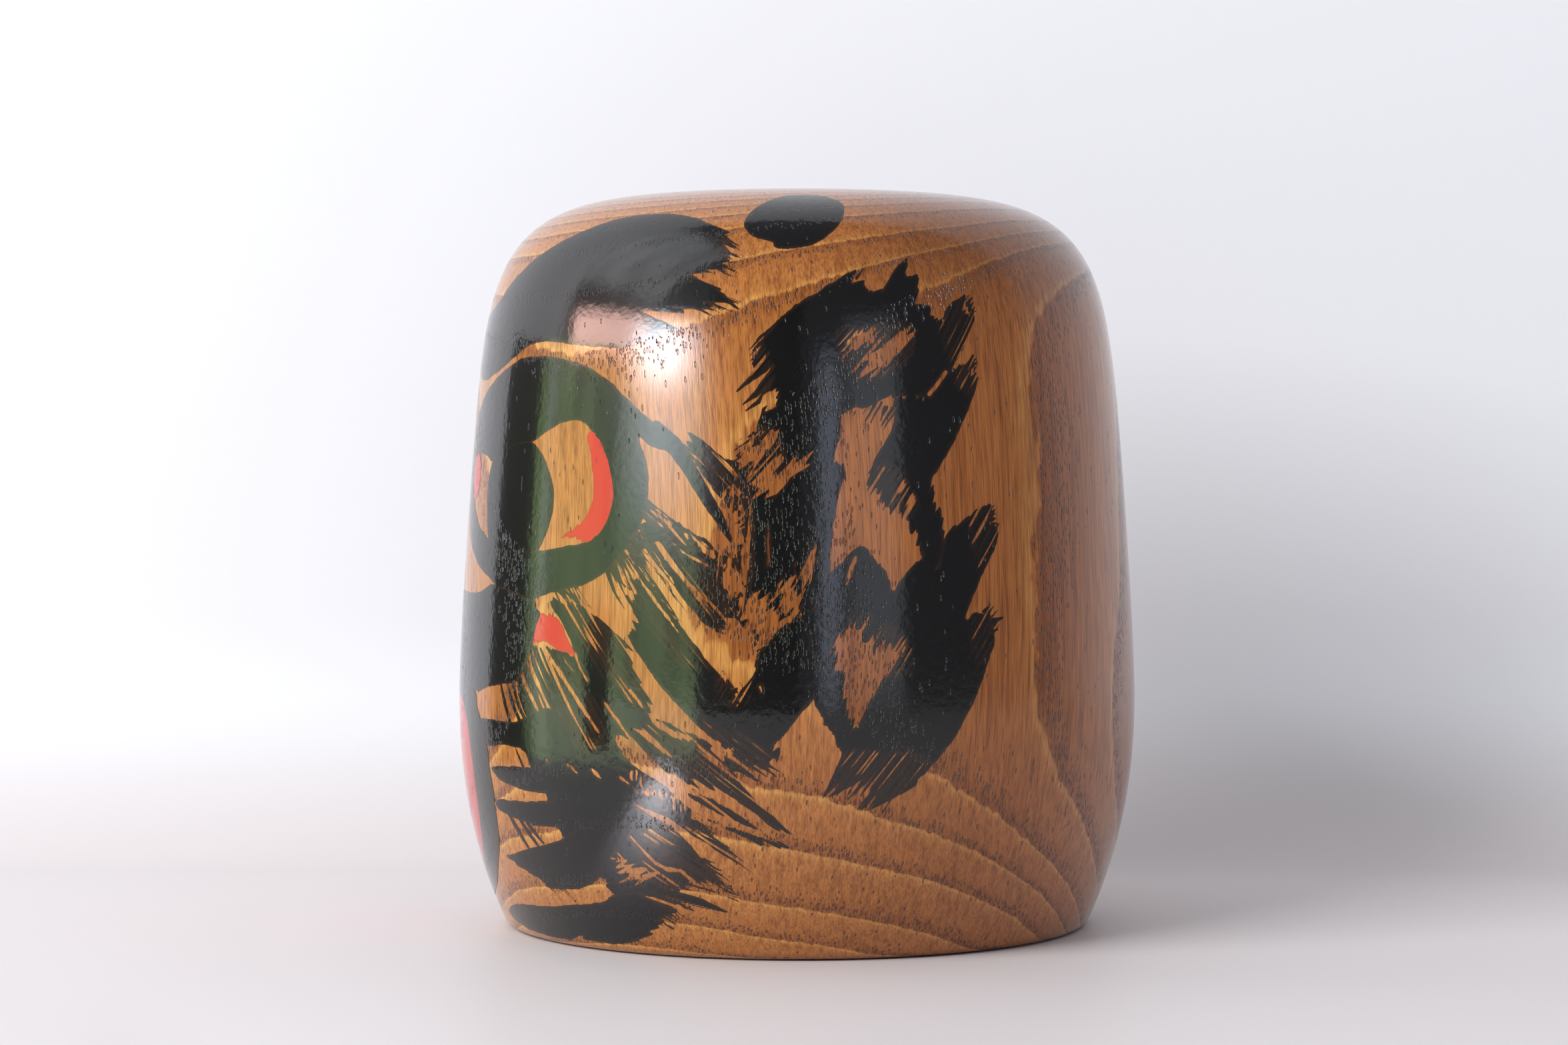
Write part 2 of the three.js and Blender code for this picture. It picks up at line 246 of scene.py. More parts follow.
def timber(tree):
    """Sockets of the timber pattern: share of the year, pores, fine fibre and broad fibre, all
    0..1, and the place in mm."""
    in_mm = vectors(tree, "MULTIPLY", add(tree, "ShaderNodeTexCoord").outputs["Object"],
                    (1000, 1000, 1000))
    wander = cloud(tree, in_mm, 1.0, 1 / WANDER_SIZE)["Color"]
    shift = vectors(tree, "SUBTRACT", wander, (0.5, 0.5, 0.5))
    x, y, z = xyz(tree, vectors(tree, "MULTIPLY_ADD", shift, (WANDER, WANDER, 0), in_mm))
    u = maths(tree, "MULTIPLY_ADD", z, 1 / HALF_HEIGHT, -1.0)
    across = []
    for side, (start, lean, bow) in ((x, HEART_X), (y, HEART_Y)):
        bent = maths(tree, "MULTIPLY_ADD", u, bow, lean)
        heart = maths(tree, "MULTIPLY_ADD", bent, u, start)
        across.append(maths(tree, "SUBTRACT", side, heart))
    trunk = add(tree, "ShaderNodeCombineXYZ", {0: across[0], 1: across[1], 2: z}).outputs[0]
    flat = vectors(tree, "MULTIPLY", trunk, (1, 1, 0))
    radius = add(tree, "ShaderNodeVectorMath", {0: flat}, operation="LENGTH").outputs["Value"]

    def stretched(wide, long):
        """Place in the trunk, with cells of this size in mm as the unit."""
        return vectors(tree, "MULTIPLY", trunk, (1 / wide, 1 / wide, 1 / long))

    swelling = maths(tree, "MULTIPLY", remap(tree, y, *SWELLS_TO_FACE, 0.0, SWELLING, smooth=False),
                     remap(tree, z, *SWELLS_DOWN))
    rags = maths(tree, "SUBTRACT", cloud(tree, stretched(*RAGS), 2.0)["Fac"], 0.5)
    grown = maths(tree, "MULTIPLY_ADD", rags, RAGGED, maths(tree, "SUBTRACT", radius, swelling))
    last_mm, last_year = YEARS[-1]
    curve = add(tree, "ShaderNodeFloatCurve", {"Value": maths(tree, "DIVIDE", grown, last_mm)})
    line = curve.mapping.curves[0]
    while len(line.points) < len(YEARS):
        line.points.new(0.5, 0.5)
    for point, (mm, years) in zip(line.points, YEARS):
        point.location = (mm / last_mm, years / last_year)
        point.handle_type = "VECTOR"
    curve.mapping.update()
    year_share = maths(tree, "FRACT", maths(tree, "MULTIPLY", curve.outputs[0], last_year))

    cells = add(tree, "ShaderNodeTexVoronoi", {"Vector": stretched(*VESSELS), "Scale": 1.0,
                                               "Randomness": 1.0}, feature="F1").outputs
    dip = remap(tree, cells["Distance"], *VESSEL_RIM)
    chance = ramp(tree, year_share, [(at, (share,) * 4) for at, share in OPEN_SHARE])
    drawn = add(tree, "ShaderNodeSeparateColor", {0: cells["Color"]}).outputs[0]
    pore = maths(tree, "MULTIPLY", dip, maths(tree, "LESS_THAN", drawn, chance))
    fine = cloud(tree, stretched(*FINE_FIBRE), 2.0)["Fac"]
    broad = cloud(tree, stretched(*BROAD_FIBRE), 3.0)["Fac"]
    return year_share, pore, fine, broad, in_mm


# %% [markdown]
# ## Lacquered keyaki
#
# Keyaki is orange to red-brown. Several thin coats of clear lacquer give it a wet gloss with
# small dimples over the open vessels, where the light catches. Tinted lacquer would hide the
# figure, so the colour comes from the wood and the gloss from a clear coat on top of it. The
# colour also carries painted light: a paler sheen on the face side, where the window falls, and
# painted shade toward the back and over the crown.

# %% Wood material
PORE_DEPTH = 0.24        # mm, how far the lacquer sinks into an open vessel
# through one year: the porous spring wood, the dense wood, and the thin pale band
YEAR_TONES = [(0.0, "#9C5E2E"), (0.06, "#92572B"), (0.32, "#A66733"), (0.8, "#AF703B"),
              (0.9, "#B6783F"), (0.955, "#C48C4D"), (0.985, "#BC8144"), (1.0, "#965A2C")]
# what the fibres, and the way from face to back, multiply those tones by; the way from face to
# back is partly the wood's own hue and partly painted light, a paler sheen on the lit face side
# and painted shade toward the back
BROAD_TONES = [(0.32, (0.62, 0.52, 0.45, 1)), (0.5, (0.96, 0.95, 0.94, 1)),
               (0.7, (1.14, 1.14, 1.1, 1))]
FINE_TONES = [(0.34, (0.5, 0.42, 0.36, 1)), (0.52, (1.0, 1.0, 1.0, 1)),
              (0.72, (1.22, 1.2, 1.14, 1))]
# lighter and yellower at the face, darker and redder at the back: partly the wood's hue, partly a
# painted sheen and painted shade
HUE_AND_SHADE_TO_BACK = [(0.0, (1.08, 1.17, 0.99, 1)), (1.0, (0.9, 0.82, 0.84, 1))]
# the third share is the most painted shade that the crown takes
BROAD_SHARE, FINE_SHARE, CROWN_SHADE_SHARE, PORE_SHARE = 0.75, 0.7, 0.42, 0.74
FACE_TO_BACK, CROWN_SHADE_LEVELS = (-42.0, 34.0), (90.0, 106.0)       # y and z in mm; the heights are where the painted crown shade grows
CROWN_SHADE_BACK = (0.55, 0.82)          # share of the way from face to back where the painted crown shade sets in
# the first colour is painted shade: the dark brown that the crown's top and back fade to
CROWN_SHADE_COLOUR, VESSEL_BROWN = "#4A2A18", "#5C2E17"


def dimples(tree, pore, sunk, relief, share):
    """Bump from the sunken vessels, with a trace of another pattern."""
    height = maths(tree, "MULTIPLY_ADD", relief, share, maths(tree, "MULTIPLY", pore, -sunk))
    return add(tree, "ShaderNodeBump", {
        "Height": height, "Strength": 1.0, "Distance": PORE_DEPTH * MM}).outputs[0]


def coated(tree, colour, normal, coat_roughness):
    """A dull colour under a full clear coat, which gives all of the gloss."""
    return add(tree, "ShaderNodeBsdfPrincipled", {
        "Base Color": colour, "Roughness": 0.5, "Specular IOR Level": 0.08, "Normal": normal,
        "Coat Weight": 1.0, "Coat Roughness": coat_roughness, "Coat IOR": 1.5,
        "Coat Normal": normal}).outputs[0]


wood, tree, surface = fresh_material("lacquered_keyaki")
year_share, pore, fine, broad, in_mm = timber(tree)
_, y, z = xyz(tree, in_mm)
to_back = remap(tree, y, *FACE_TO_BACK, smooth=False)
colour = ramp(tree, year_share, [(at, srgb(code)) for at, code in YEAR_TONES])
# the last pass paints a sheen on the lit face side and shade toward the back, over the wood's hue
for share, factor, tones in ((BROAD_SHARE, broad, BROAD_TONES), (FINE_SHARE, fine, FINE_TONES),
                             (1.0, to_back, HUE_AND_SHADE_TO_BACK)):
    colour = mix(tree, share, colour, ramp(tree, factor, tones), "MULTIPLY")
# painted shade: the crown darkens toward its top, and most of all toward the back, where the window's
# light only grazes it
crown_shade = maths(tree, "MULTIPLY", remap(tree, z, *CROWN_SHADE_LEVELS, 0.0, CROWN_SHADE_SHARE),
              remap(tree, to_back, *CROWN_SHADE_BACK))
colour = mix(tree, crown_shade, colour, srgb(CROWN_SHADE_COLOUR))
colour = mix(tree, maths(tree, "MULTIPLY", pore, PORE_SHARE), colour, srgb(VESSEL_BROWN))
tree.links.new(coated(tree, colour, dimples(tree, pore, 1.0, fine, 0.06), 0.12), surface)
print("wood nodes:", len(tree.nodes))

# %% [markdown]
# ## Brushed lacquer
#
# The paint is thin: it goes over the wood and sinks into the same vessels, and where the brush
# is almost dry the film is so thin that the brown of the wood warms it. Each vertex of a mark
# carries how thin the paint is there, and the material mixes a warmer, lighter tone by it.

# %% Paint materials
RIPPLE_SCALE = 0.9       # waves per mm in the brushed film


def brushed_lacquer(name, full, thin):
    """Glossy brush lacquer over the timber's pores; thin edges take the second colour."""
    material, tree, surface = fresh_material(name)
    _, pore, fine, _, in_mm = timber(tree)
    thinness = add(tree, "ShaderNodeAttribute", attribute_name="thin").outputs["Fac"]
    patchy = maths(tree, "MULTIPLY", thinness, maths(tree, "MULTIPLY_ADD", fine, 1.4, -0.1))
    ripple = cloud(tree, in_mm, 2.0, RIPPLE_SCALE)["Fac"]
    normal = dimples(tree, pore, 0.5, ripple, 0.12)
    colour = mix(tree, patchy, srgb(full), srgb(thin))
    tree.links.new(coated(tree, colour, normal, 0.11), surface)
    return material


BLACK = brushed_lacquer("black_brush_lacquer", "#100F0F", "#3A2417")
RED = brushed_lacquer("vermilion_brush_lacquer", "#BC2820", "#A0321A")
print("paints:", BLACK.name, "and", RED.name)

# %% [markdown]
# ## The turned block
#
# A lathe gives a surface of revolution, so the block is the outline carried once round the axis.
# The rows are closer together where the outline bends. The foot has its bevel and the shallow
# hollow that lets the block stand on a ring. Both poles end in a fan, so the skin is closed.

# %% Block
TURNS, ROWS = 540, 160
BEND_WEIGHT = 22         # mm of skin that count as much as one radian of bend
BLOCK_EDGE, FILM_EDGE = math.radians(35), math.radians(40)   # sharper bends than these stay sharp


def turned_block():
    """Outline rows times angles: hollow, foot ring, bevel, side and crown, with a fan at each
    pole."""
    bend = np.r_[0, np.cumsum(np.diff(skin_s) + BEND_WEIGHT * np.abs(np.diff(slope)))]
    start = np.interp(FOOT_BEVEL * 1.5, skin_z, bend)
    s = np.interp(np.linspace(start, bend[-1], ROWS + 1)[:-1], bend, skin_s)
    ring_edge = FOOT_RADIUS - FOOT_BEVEL
    r = np.r_[RECESS_RADIUS * 0.5, RECESS_RADIUS, RECESS_RADIUS + 0.5 * RECESS_DEPTH,
              RECESS_RADIUS + RECESS_DEPTH, ring_edge - 0.3, ring_edge,
              FOOT_RADIUS - 0.35 * FOOT_BEVEL, side_radius(FOOT_BEVEL),
              np.interp(s, skin_s, skin_r)]
    z = np.r_[RECESS_DEPTH, RECESS_DEPTH, 0.4 * RECESS_DEPTH, 0, 0, 0, 0.25 * FOOT_BEVEL,
              FOOT_BEVEL, np.interp(s, skin_s, skin_z)]
    turn = np.linspace(0, 2 * np.pi, TURNS, endpoint=False)
    r, z = r[:, None], z[:, None]
    ring = np.stack([r * np.sin(turn), -r * np.cos(turn), z + 0 * turn], -1)
    points = np.r_[ring.reshape(-1, 3), [[0, 0, RECESS_DEPTH], [0, 0, BODY_HEIGHT]]] * MM
    rows = len(r)
    i, j = np.meshgrid(np.arange(rows - 1), np.arange(TURNS), indexing="ij")
    k = (j + 1) % TURNS
    corners = [i * TURNS + j, i * TURNS + k, (i + 1) * TURNS + k, (i + 1) * TURNS + j]
    quads = np.stack(corners, -1).reshape(-1, 4)
    j = np.arange(TURNS)
    k = (j + 1) % TURNS
    top = (rows - 1) * TURNS
    under = np.stack([k, j, np.full(TURNS, rows * TURNS)], -1)
    over = np.stack([top + j, top + k, np.full(TURNS, rows * TURNS + 1)], -1)
    return points, [quads, under, over]


block = make_mesh("turned_block", *turned_block(), wood, "lacquered_wood", "turned_body")
block.data.set_sharp_from_angle(angle=BLOCK_EDGE)
print("block:", len(block.data.vertices), "vertices")

# %% [markdown]
# ## Drawing with a brush in numbers
#
# A brush mark has a clean side where the brush was full and a ragged one where hairs lifted off
# or ran dry. Here a mark is a height field on a fine grid over the unrolled skin: positive where
# there is paint. A shape adds its distance inside an outline, a hair adds a thin tapered line, and
# bare wood is cut out in the same way. The zero line of the field is the paint's edge, so a
# ragged edge costs nothing, and the triangles follow it exactly.

# %% Fields
STEP = 0.17              # mm between grid points, under half a brush hair
ROUND = 0.9              # mm along the skin for one degree at the side
BARE = -3.0              # mm, the field where nothing is drawn yet
LATTICE = np.random.default_rng(7).random((256, 256))


def noise(x, y, seed=0):
    """Smooth value noise, -1..1: random values on a lattice, blended by a smoothstep. Each seed
    reads another part of the lattice."""
    x = x + 17.3 * seed
    y = y + 9.7 * seed
    i, j = np.floor(x).astype(int), np.floor(y).astype(int)
    fx, fy = x - i, y - j
    fx, fy = fx * fx * (3 - 2 * fx), fy * fy * (3 - 2 * fy)
    a, b = LATTICE[i & 255, j & 255], LATTICE[(i + 1) & 255, j & 255]
    c, d = LATTICE[i & 255, (j + 1) & 255], LATTICE[(i + 1) & 255, (j + 1) & 255]
    return 2 * (a * (1 - fx) * (1 - fy) + b * fx * (1 - fy) + c * (1 - fx) * fy + d * fx * fy) - 1


def smooth_outline(outline, steps=4):
    """Closed Catmull-Rom curve through the outline's points of (degrees, mm up), in mm."""
    p = np.array([(a * ROUND, s) for a, s in outline], float)
    before, after, after2 = np.roll(p, 1, 0), np.roll(p, -1, 0), np.roll(p, -2, 0)
    t = (np.arange(steps) / steps)[None, :, None]
    curve = 0.5 * (2 * p[:, None] + (after - before)[:, None] * t
                   + (2 * before - 5 * p + 4 * after - after2)[:, None] * t ** 2
                   + (3 * p - before - 3 * after + after2)[:, None] * t ** 3)
    return curve.reshape(-1, 2)


def nearest_on(ax, ay, bx, by, x, y):
    """How far along a segment, 0..1, its nearest point to each (x, y) is, and the offsets to it."""
    ex, ey = bx - ax, by - ay
    t = np.clip(((x - ax) * ex + (y - ay) * ey) / (ex * ex + ey * ey + 1e-12), 0, 1)
    return t, x - ax - t * ex, y - ay - t * ey


def inside(outline, x, y):
    """Signed distance to a closed outline, mm, positive inside: the nearest edge's distance, with
    the sign from counting the edges crossed by a ray."""
    nearest = np.full(x.shape, 1e9)
    odd = np.zeros(x.shape, bool)
    for (ax, ay), (bx, by) in zip(outline, np.roll(outline, -1, 0)):
        _, dx, dy = nearest_on(ax, ay, bx, by, x, y)
        nearest = np.minimum(nearest, dx ** 2 + dy ** 2)
        if ay != by:
            odd ^= ((ay > y) != (by > y)) & (x < (bx - ax) * (y - ay) / (by - ay) + ax)
    return np.sqrt(nearest) * np.where(odd, 1, -1)


def along(path, x, y):
    """Half width less the distance to a path of (x, y, width), positive on the line."""
    best = np.full(x.shape, -1e9)
    for (ax, ay, aw), (bx, by, bw) in zip(path[:-1], path[1:]):
        t, dx, dy = nearest_on(ax, ay, bx, by, x, y)
        best = np.maximum(best, (aw + t * (bw - aw)) / 2 - np.hypot(dx, dy))
    return best


class Sheet:
    """A patch of the unrolled skin that holds one mark's field."""

    def __init__(self, low, high, seed):
        self.x0, self.y0 = low
        self.nx, self.ny = (int(np.ceil((h - l) / STEP)) + 1 for l, h in zip(low, high))
        self.field = np.full((self.nx, self.ny), BARE)
        self.seed = seed

    def window(self, shape, margin):
        """Grid slice and coordinates that cover a shape's points with a margin in mm, or None
        where the shape lies off the sheet."""
        low, high = shape.min(0) - margin, shape.max(0) + margin
        i0, j0 = (max(0, int((l - o) / STEP)) for l, o in zip(low, (self.x0, self.y0)))
        i1 = min(self.nx, int((high[0] - self.x0) / STEP) + 2)
        j1 = min(self.ny, int((high[1] - self.y0) / STEP) + 2)
        if i1 <= i0 or j1 <= j0:
            return None
        x = self.x0 + STEP * np.arange(i0, i1)[:, None]
        y = self.y0 + STEP * np.arange(j0, j1)[None, :]
        return (slice(i0, i1), slice(j0, j1)), *np.broadcast_arrays(x, y)

    def blend(self, where, value, cut):
        """Adds paint, or cuts bare wood."""
        old = self.field[where]
        self.field[where] = np.minimum(old, -value) if cut else np.maximum(old, value)

    def two_noises(self, x, y, first, share, second, seed):
        """A noise with cells of the first size in mm, and a share of one of the second size."""
        return (noise(x / first[0], y / first[1], self.seed + seed[0])
                + share * noise(x / second[0], y / second[1], self.seed + seed[1]))

    def turned(self, x, y, flow):
        """Cosine and sine of the brush's direction, and the place along and across its hairs."""
        c, s = math.cos(math.radians(flow)), math.sin(math.radians(flow))
        return c, s, x * c + y * s, -x * s + y * c

    def area(self, outline, cut=False, rough=0.1, flow=0, streak=0.0, wet=None):
        """An outline of (degrees, mm up). rough wobbles its edge, mm. flow is the brush's
        direction in degrees on the sheet, and streak how far its hairs slip past the edge or stop
        short of it, mm. wet is two angles between which the slip grows from none to full."""
        p = smooth_outline(outline)
        found = self.window(p, 2.5 + streak)
        if found is None:
            return
        where, x, y = found
        wobble = rough * self.two_noises(x, y, (1.7, 1.7), 0.6, (0.6, 0.6), (0, 3))
        if streak:
            c, s, u, v = self.turned(x, y, flow)
            slip = streak * self.two_noises(u, v, (18, 0.6), 0.8, (12, 0.3), (5, 6))
            if wet:
                slip = slip * np.clip((x / ROUND - wet[0]) / (wet[1] - wet[0]), 0, 1)
            x, y = x + slip * c, y + slip * s
        self.blend(where, inside(p, x, y) + wobble, cut)

    def dry(self, outline, flow, share, wide=0.3, long=11.0):
        """Bare hairlines inside an outline, where the brush ran dry: noise stretched along the
        hairs, cut where it passes a level that leaves this share bare."""
        p = smooth_outline(outline)
        found = self.window(p, 2)
        if found is None:
            return
        where, x, y = found
        _, _, u, v = self.turned(x, y, flow)
        hair = self.two_noises(u, v, (long, wide), 0.5, (0.45 * long, 0.6 * wide), (7, 8))
        level = 0.75 - 1.5 * share
        within = np.minimum(inside(p, x, y), 1.5)
        fading = 0.25 * np.minimum(within - 0.6, 0)      # the hairlines thin out near the outline
        self.blend(where, np.minimum(within, wide * 1.2 * (hair - level) + fading), True)

    def line(self, path, cut=False, rough=0.06):
        """A tapered line of (degrees, mm up, width mm)."""
        p = np.array([(a * ROUND, s, w) for a, s, w in path], float)
        t = np.linspace(0, len(p) - 1, 4 * len(p))
        p = np.stack([np.interp(t, np.arange(len(p)), p[:, c]) for c in range(3)], -1)
        found = self.window(p[:, :2], 2.0)
        if found is None:
            return
        where, x, y = found
        value = along(p, x, y) + rough * noise(x / 0.7, y / 0.7, self.seed + 9)
        self.blend(where, value, cut)

    def fringe(self, start, end, toward, count, seed, width=0.36, spread=0.3):
        """Loose hairs: half as many again as count, as tapered lines that start on a segment and
        run toward a vector, each with its own length, width and slight bend."""
        draw = np.random.default_rng(1000 * self.seed + seed)
        count = int(1.5 * count)
        for k in range(count):
            f = (k + draw.uniform(0.1, 0.9)) / count
            a0 = start[0] + (end[0] - start[0]) * f
            s0 = start[1] + (end[1] - start[1]) * f
            length = draw.uniform(0.35, 1.0)
            da = toward[0] * length + draw.normal(0, spread)
            ds = toward[1] * length + draw.normal(0, spread)
            bend = draw.normal(0, 0.05)
            w = width * draw.uniform(0.5, 1.5)
            self.line([(a0 - 0.25 * da, s0 - 0.25 * ds, w), (a0, s0, w),
                       (a0 + da * 0.55 - bend * ds, s0 + ds * 0.55 + bend * da, 0.6 * w),
                       (a0 + da, s0 + ds, 0.1)], rough=0.04)


# %% Field to triangles
FILM = 0.03              # mm, the film's full height over the wood
FULL_DEPTH = 0.5         # mm inside its edge, where the film reaches its full height and colour
EDGE_HEIGHT, EDGE_RISE = 0.85, 0.15      # of the full height: at the edge, gained inside
WALL_FOOT = -0.02        # mm, how far the film's edge wall goes down into the wood
SIDES = {"left": 1, "right": -1}
made = {}


def contour(sheet):
    """Points (x, y, depth), triangles and rim edges of the part of the field above zero. Each
    grid cell is two triangles, and each is kept, dropped, or clipped where its edges cross zero."""
    nx, ny = sheet.field.shape
    size = nx * ny
    index = np.arange(size).reshape(nx, ny)
    a, b, c, d = index[:-1, :-1], index[1:, :-1], index[1:, 1:], index[:-1, 1:]
    tri = np.r_[np.stack([a, b, c], -1).reshape(-1, 3), np.stack([a, c, d], -1).reshape(-1, 3)]
    flat = sheet.field.ravel()
    up = flat[tri] > 0
    count = up.sum(1)

    def roll_to(rows, first):
        """Turns each triangle so that the chosen corner comes first."""
        return np.stack([rows[np.arange(len(rows)), (first + k) % 3] for k in range(3)], -1)

    one = roll_to(tri[count == 1], up[count == 1].argmax(1))
    two = roll_to(tri[count == 2], (~up[count == 2]).argmax(1))
    pairs = np.sort(np.r_[one[:, [0, 1]], one[:, [0, 2]], two[:, [1, 0]], two[:, [2, 0]]], 1)
    pairs = pairs.astype(np.int64)
    crossed, back = np.unique(pairs[:, 0] * size + pairs[:, 1], return_inverse=True)
    lo, hi = crossed // size, crossed % size
    t = np.clip(flat[lo] / (flat[lo] - flat[hi]), 0.02, 0.98)    # no slivers at the grid points
    gx, gy = np.divmod(np.arange(size), ny)
    cut_x = sheet.x0 + STEP * (gx[lo] * (1 - t) + gx[hi] * t)
    cut_y = sheet.y0 + STEP * (gy[lo] * (1 - t) + gy[hi] * t)
    n1, n2 = len(one), len(two)
    p, q, m, n = np.split(back + size, [n1, 2 * n1, 2 * n1 + n2])
    every = np.r_[tri[count == 3], np.stack([one[:, 0], p, q], -1),
                  np.stack([two[:, 1], two[:, 2], n], -1), np.stack([two[:, 1], n, m], -1)]
    rim = np.r_[np.stack([p, q], -1), np.stack([n, m], -1)]
    used, packed = np.unique(every, return_inverse=True)
    lookup = np.zeros(size + len(crossed), np.int64)
    lookup[used] = np.arange(len(used))
    x = np.r_[sheet.x0 + STEP * gx, cut_x][used]
    y = np.r_[sheet.y0 + STEP * gy, cut_y][used]
    depth = np.r_[flat, np.zeros(len(crossed))][used]
    return x, y, depth, packed.reshape(-1, 3), lookup[rim]


def lay_film(name, sheet, side, lift, paint, replaced):
    """Wraps the painted part of a sheet round the block: the film is thinnest at its edge, and a
    narrow wall takes the edge down into the wood."""
    x, y, depth, triangles, rim = contour(sheet)
    rise = lift * (EDGE_HEIGHT + EDGE_RISE * np.clip(depth / FULL_DEPTH, 0, 1))
    top = on_skin(side * x / ROUND, y, rise)
    edge = np.unique(rim)
    low = np.zeros(len(x), np.int64)
    low[edge] = len(x) + np.arange(len(edge))
    foot = on_skin(side * x[edge] / ROUND, y[edge], WALL_FOOT)
    wall = np.stack([rim[:, 1], rim[:, 0], low[rim[:, 0]], low[rim[:, 1]]], -1)
    if side < 0:
        triangles, wall = triangles[:, ::-1], wall[:, ::-1]
    slot = "black_paint" if paint is BLACK else "red_paint"
    piece = make_mesh(name, np.r_[top, foot], [triangles, wall], paint, slot, replaced)
    piece.data.set_sharp_from_angle(angle=FILM_EDGE)
    thin = np.clip(1 - np.r_[depth, depth[edge]] / FULL_DEPTH, 0, 1)
    values = piece.data.attributes.new("thin", "FLOAT", "POINT").data
    values.foreach_set("value", thin.astype(np.float32))
    made[name] = len(triangles)


# %% [markdown]
# ## The bare wood inside the black
#
# Where the brush skips, the wood shows as windows and long thin lines. They belong to the black
# as a whole and not to one stroke, so they are listed once and every black mark leaves them out.

# %% Bare windows and lines
WINDOWS = [
    # between the nose and the beard strokes
    [(20.8, 37.4), (23, 38.8), (26, 39.2), (30, 39.6), (33, 40.2), (35.2, 40.5), (36, 39.4),
     (37.3, 37), (38.8, 35.2), (36.5, 34.6), (32, 34.5), (27, 34.3), (24.5, 33.8), (22.5, 34.8)],
    [(25.2, 30.4), (28, 30.7), (32, 30.9), (36, 30.5), (38, 30.2), (39, 28.6), (39.3, 27.9),
     (36, 28), (31, 27.7), (28, 27.3), (26, 27.1), (25.4, 28.5)],
    [(26.2, 26.7), (29, 25.6), (33, 25), (37, 24.6), (40.5, 24.4), (42.5, 24.4), (42.9, 23.3),
     (41, 23.2), (38, 22.9), (33, 22.7), (28, 22.8), (26.3, 23.5)],
    [(27.5, 20.9), (30, 20.4), (34, 19.8), (38, 19.2), (42, 19.4), (44.5, 19.4), (45.1, 17.7),
     (41, 16.6), (37.5, 15.8), (33, 14.9), (28, 13.8), (24.5, 14.2), (25.9, 17.2), (26.4, 20)],
]
DRY_WINDOWS = [
    # (outline, brush direction)
    ([(72.5, 48.6), (75, 49.1), (77.5, 48.9), (80, 47.5), (81.6, 46), (81.2, 44.5), (80, 42.3),
      (78.3, 41.3), (76.8, 43), (75, 45.2), (73.5, 46.7)], -50),
    ([(79.3, 52.4), (81, 53.7), (82.8, 53.3), (84.4, 52.3), (86.7, 50.6), (84.3, 48.6),
      (82.4, 46.6), (80.8, 48.8), (78.9, 50.4)], 52),
    ([(84.9, 55.7), (86.4, 56.3), (88.2, 55.2), (88.8, 52.6), (87.1, 50.9), (85.6, 52.5),
      (84.8, 54.2)], 58),
    ([(87.4, 58), (88.4, 57), (89.3, 55.4), (90.3, 56.4), (90.8, 60.5), (90.4, 61.2), (89.6, 59.2),
      (88.6, 57.9)], 75),
    ([(75.2, 67.3), (76.6, 67.2), (77.4, 65.4), (78.6, 63.2), (79.4, 62.6), (78.2, 61.4),
      (76.8, 60.4), (76.2, 62.5), (75.8, 64.5)], -65),
    ([(76, 58), (78, 58.4), (79.2, 57.6), (79, 56.2), (77.8, 54.2), (77, 53.4), (76.4, 55.5)], 88),
    ([(79.6, 76), (82, 76.2), (84, 76.9), (83.8, 75.2), (82, 73.9), (81.2, 71.8), (80.2, 71.3),
      (79.2, 73.2)], 50),
    ([(81.6, 69), (83.5, 68), (85.2, 69.3), (87, 71), (89.6, 72.5), (89, 74), (87, 73.4),
      (85.3, 71.6), (83, 70.8)], 40),
    ([(82.5, 82.9), (84, 82.9), (84, 80.8), (82.6, 80.4), (81.8, 81)], 50),
    ([(96.8, 91.5), (98.5, 92), (101.3, 91.9), (100.8, 90.3), (99, 89.7), (97.3, 89.6)], 60),
    ([(99.2, 86.2), (99.3, 88), (101.5, 89.2), (103.5, 90.6), (105.5, 91.8), (107.8, 92),
      (107, 90.4), (105.3, 89), (104.2, 87.8), (101.5, 87.1)], 40),
    ([(96.3, 50.8), (97.2, 49.8), (97.6, 48.5), (98.8, 48.2), (100.3, 48), (100.6, 46.8),
      (102, 47.5), (103.5, 46.5), (104, 45.2), (102, 43), (100.8, 41), (99.5, 39), (98.4, 37.5),
      (97.4, 35.6), (96.6, 37.5), (95.6, 39.3), (94.8, 42), (94, 45), (93.5, 46.7), (94.3, 48),
      (95.5, 48.6)], 70),
    ([(57, 16), (59, 14.6), (62.8, 13.2), (60, 11.6), (57.6, 12.4)], 20),
]
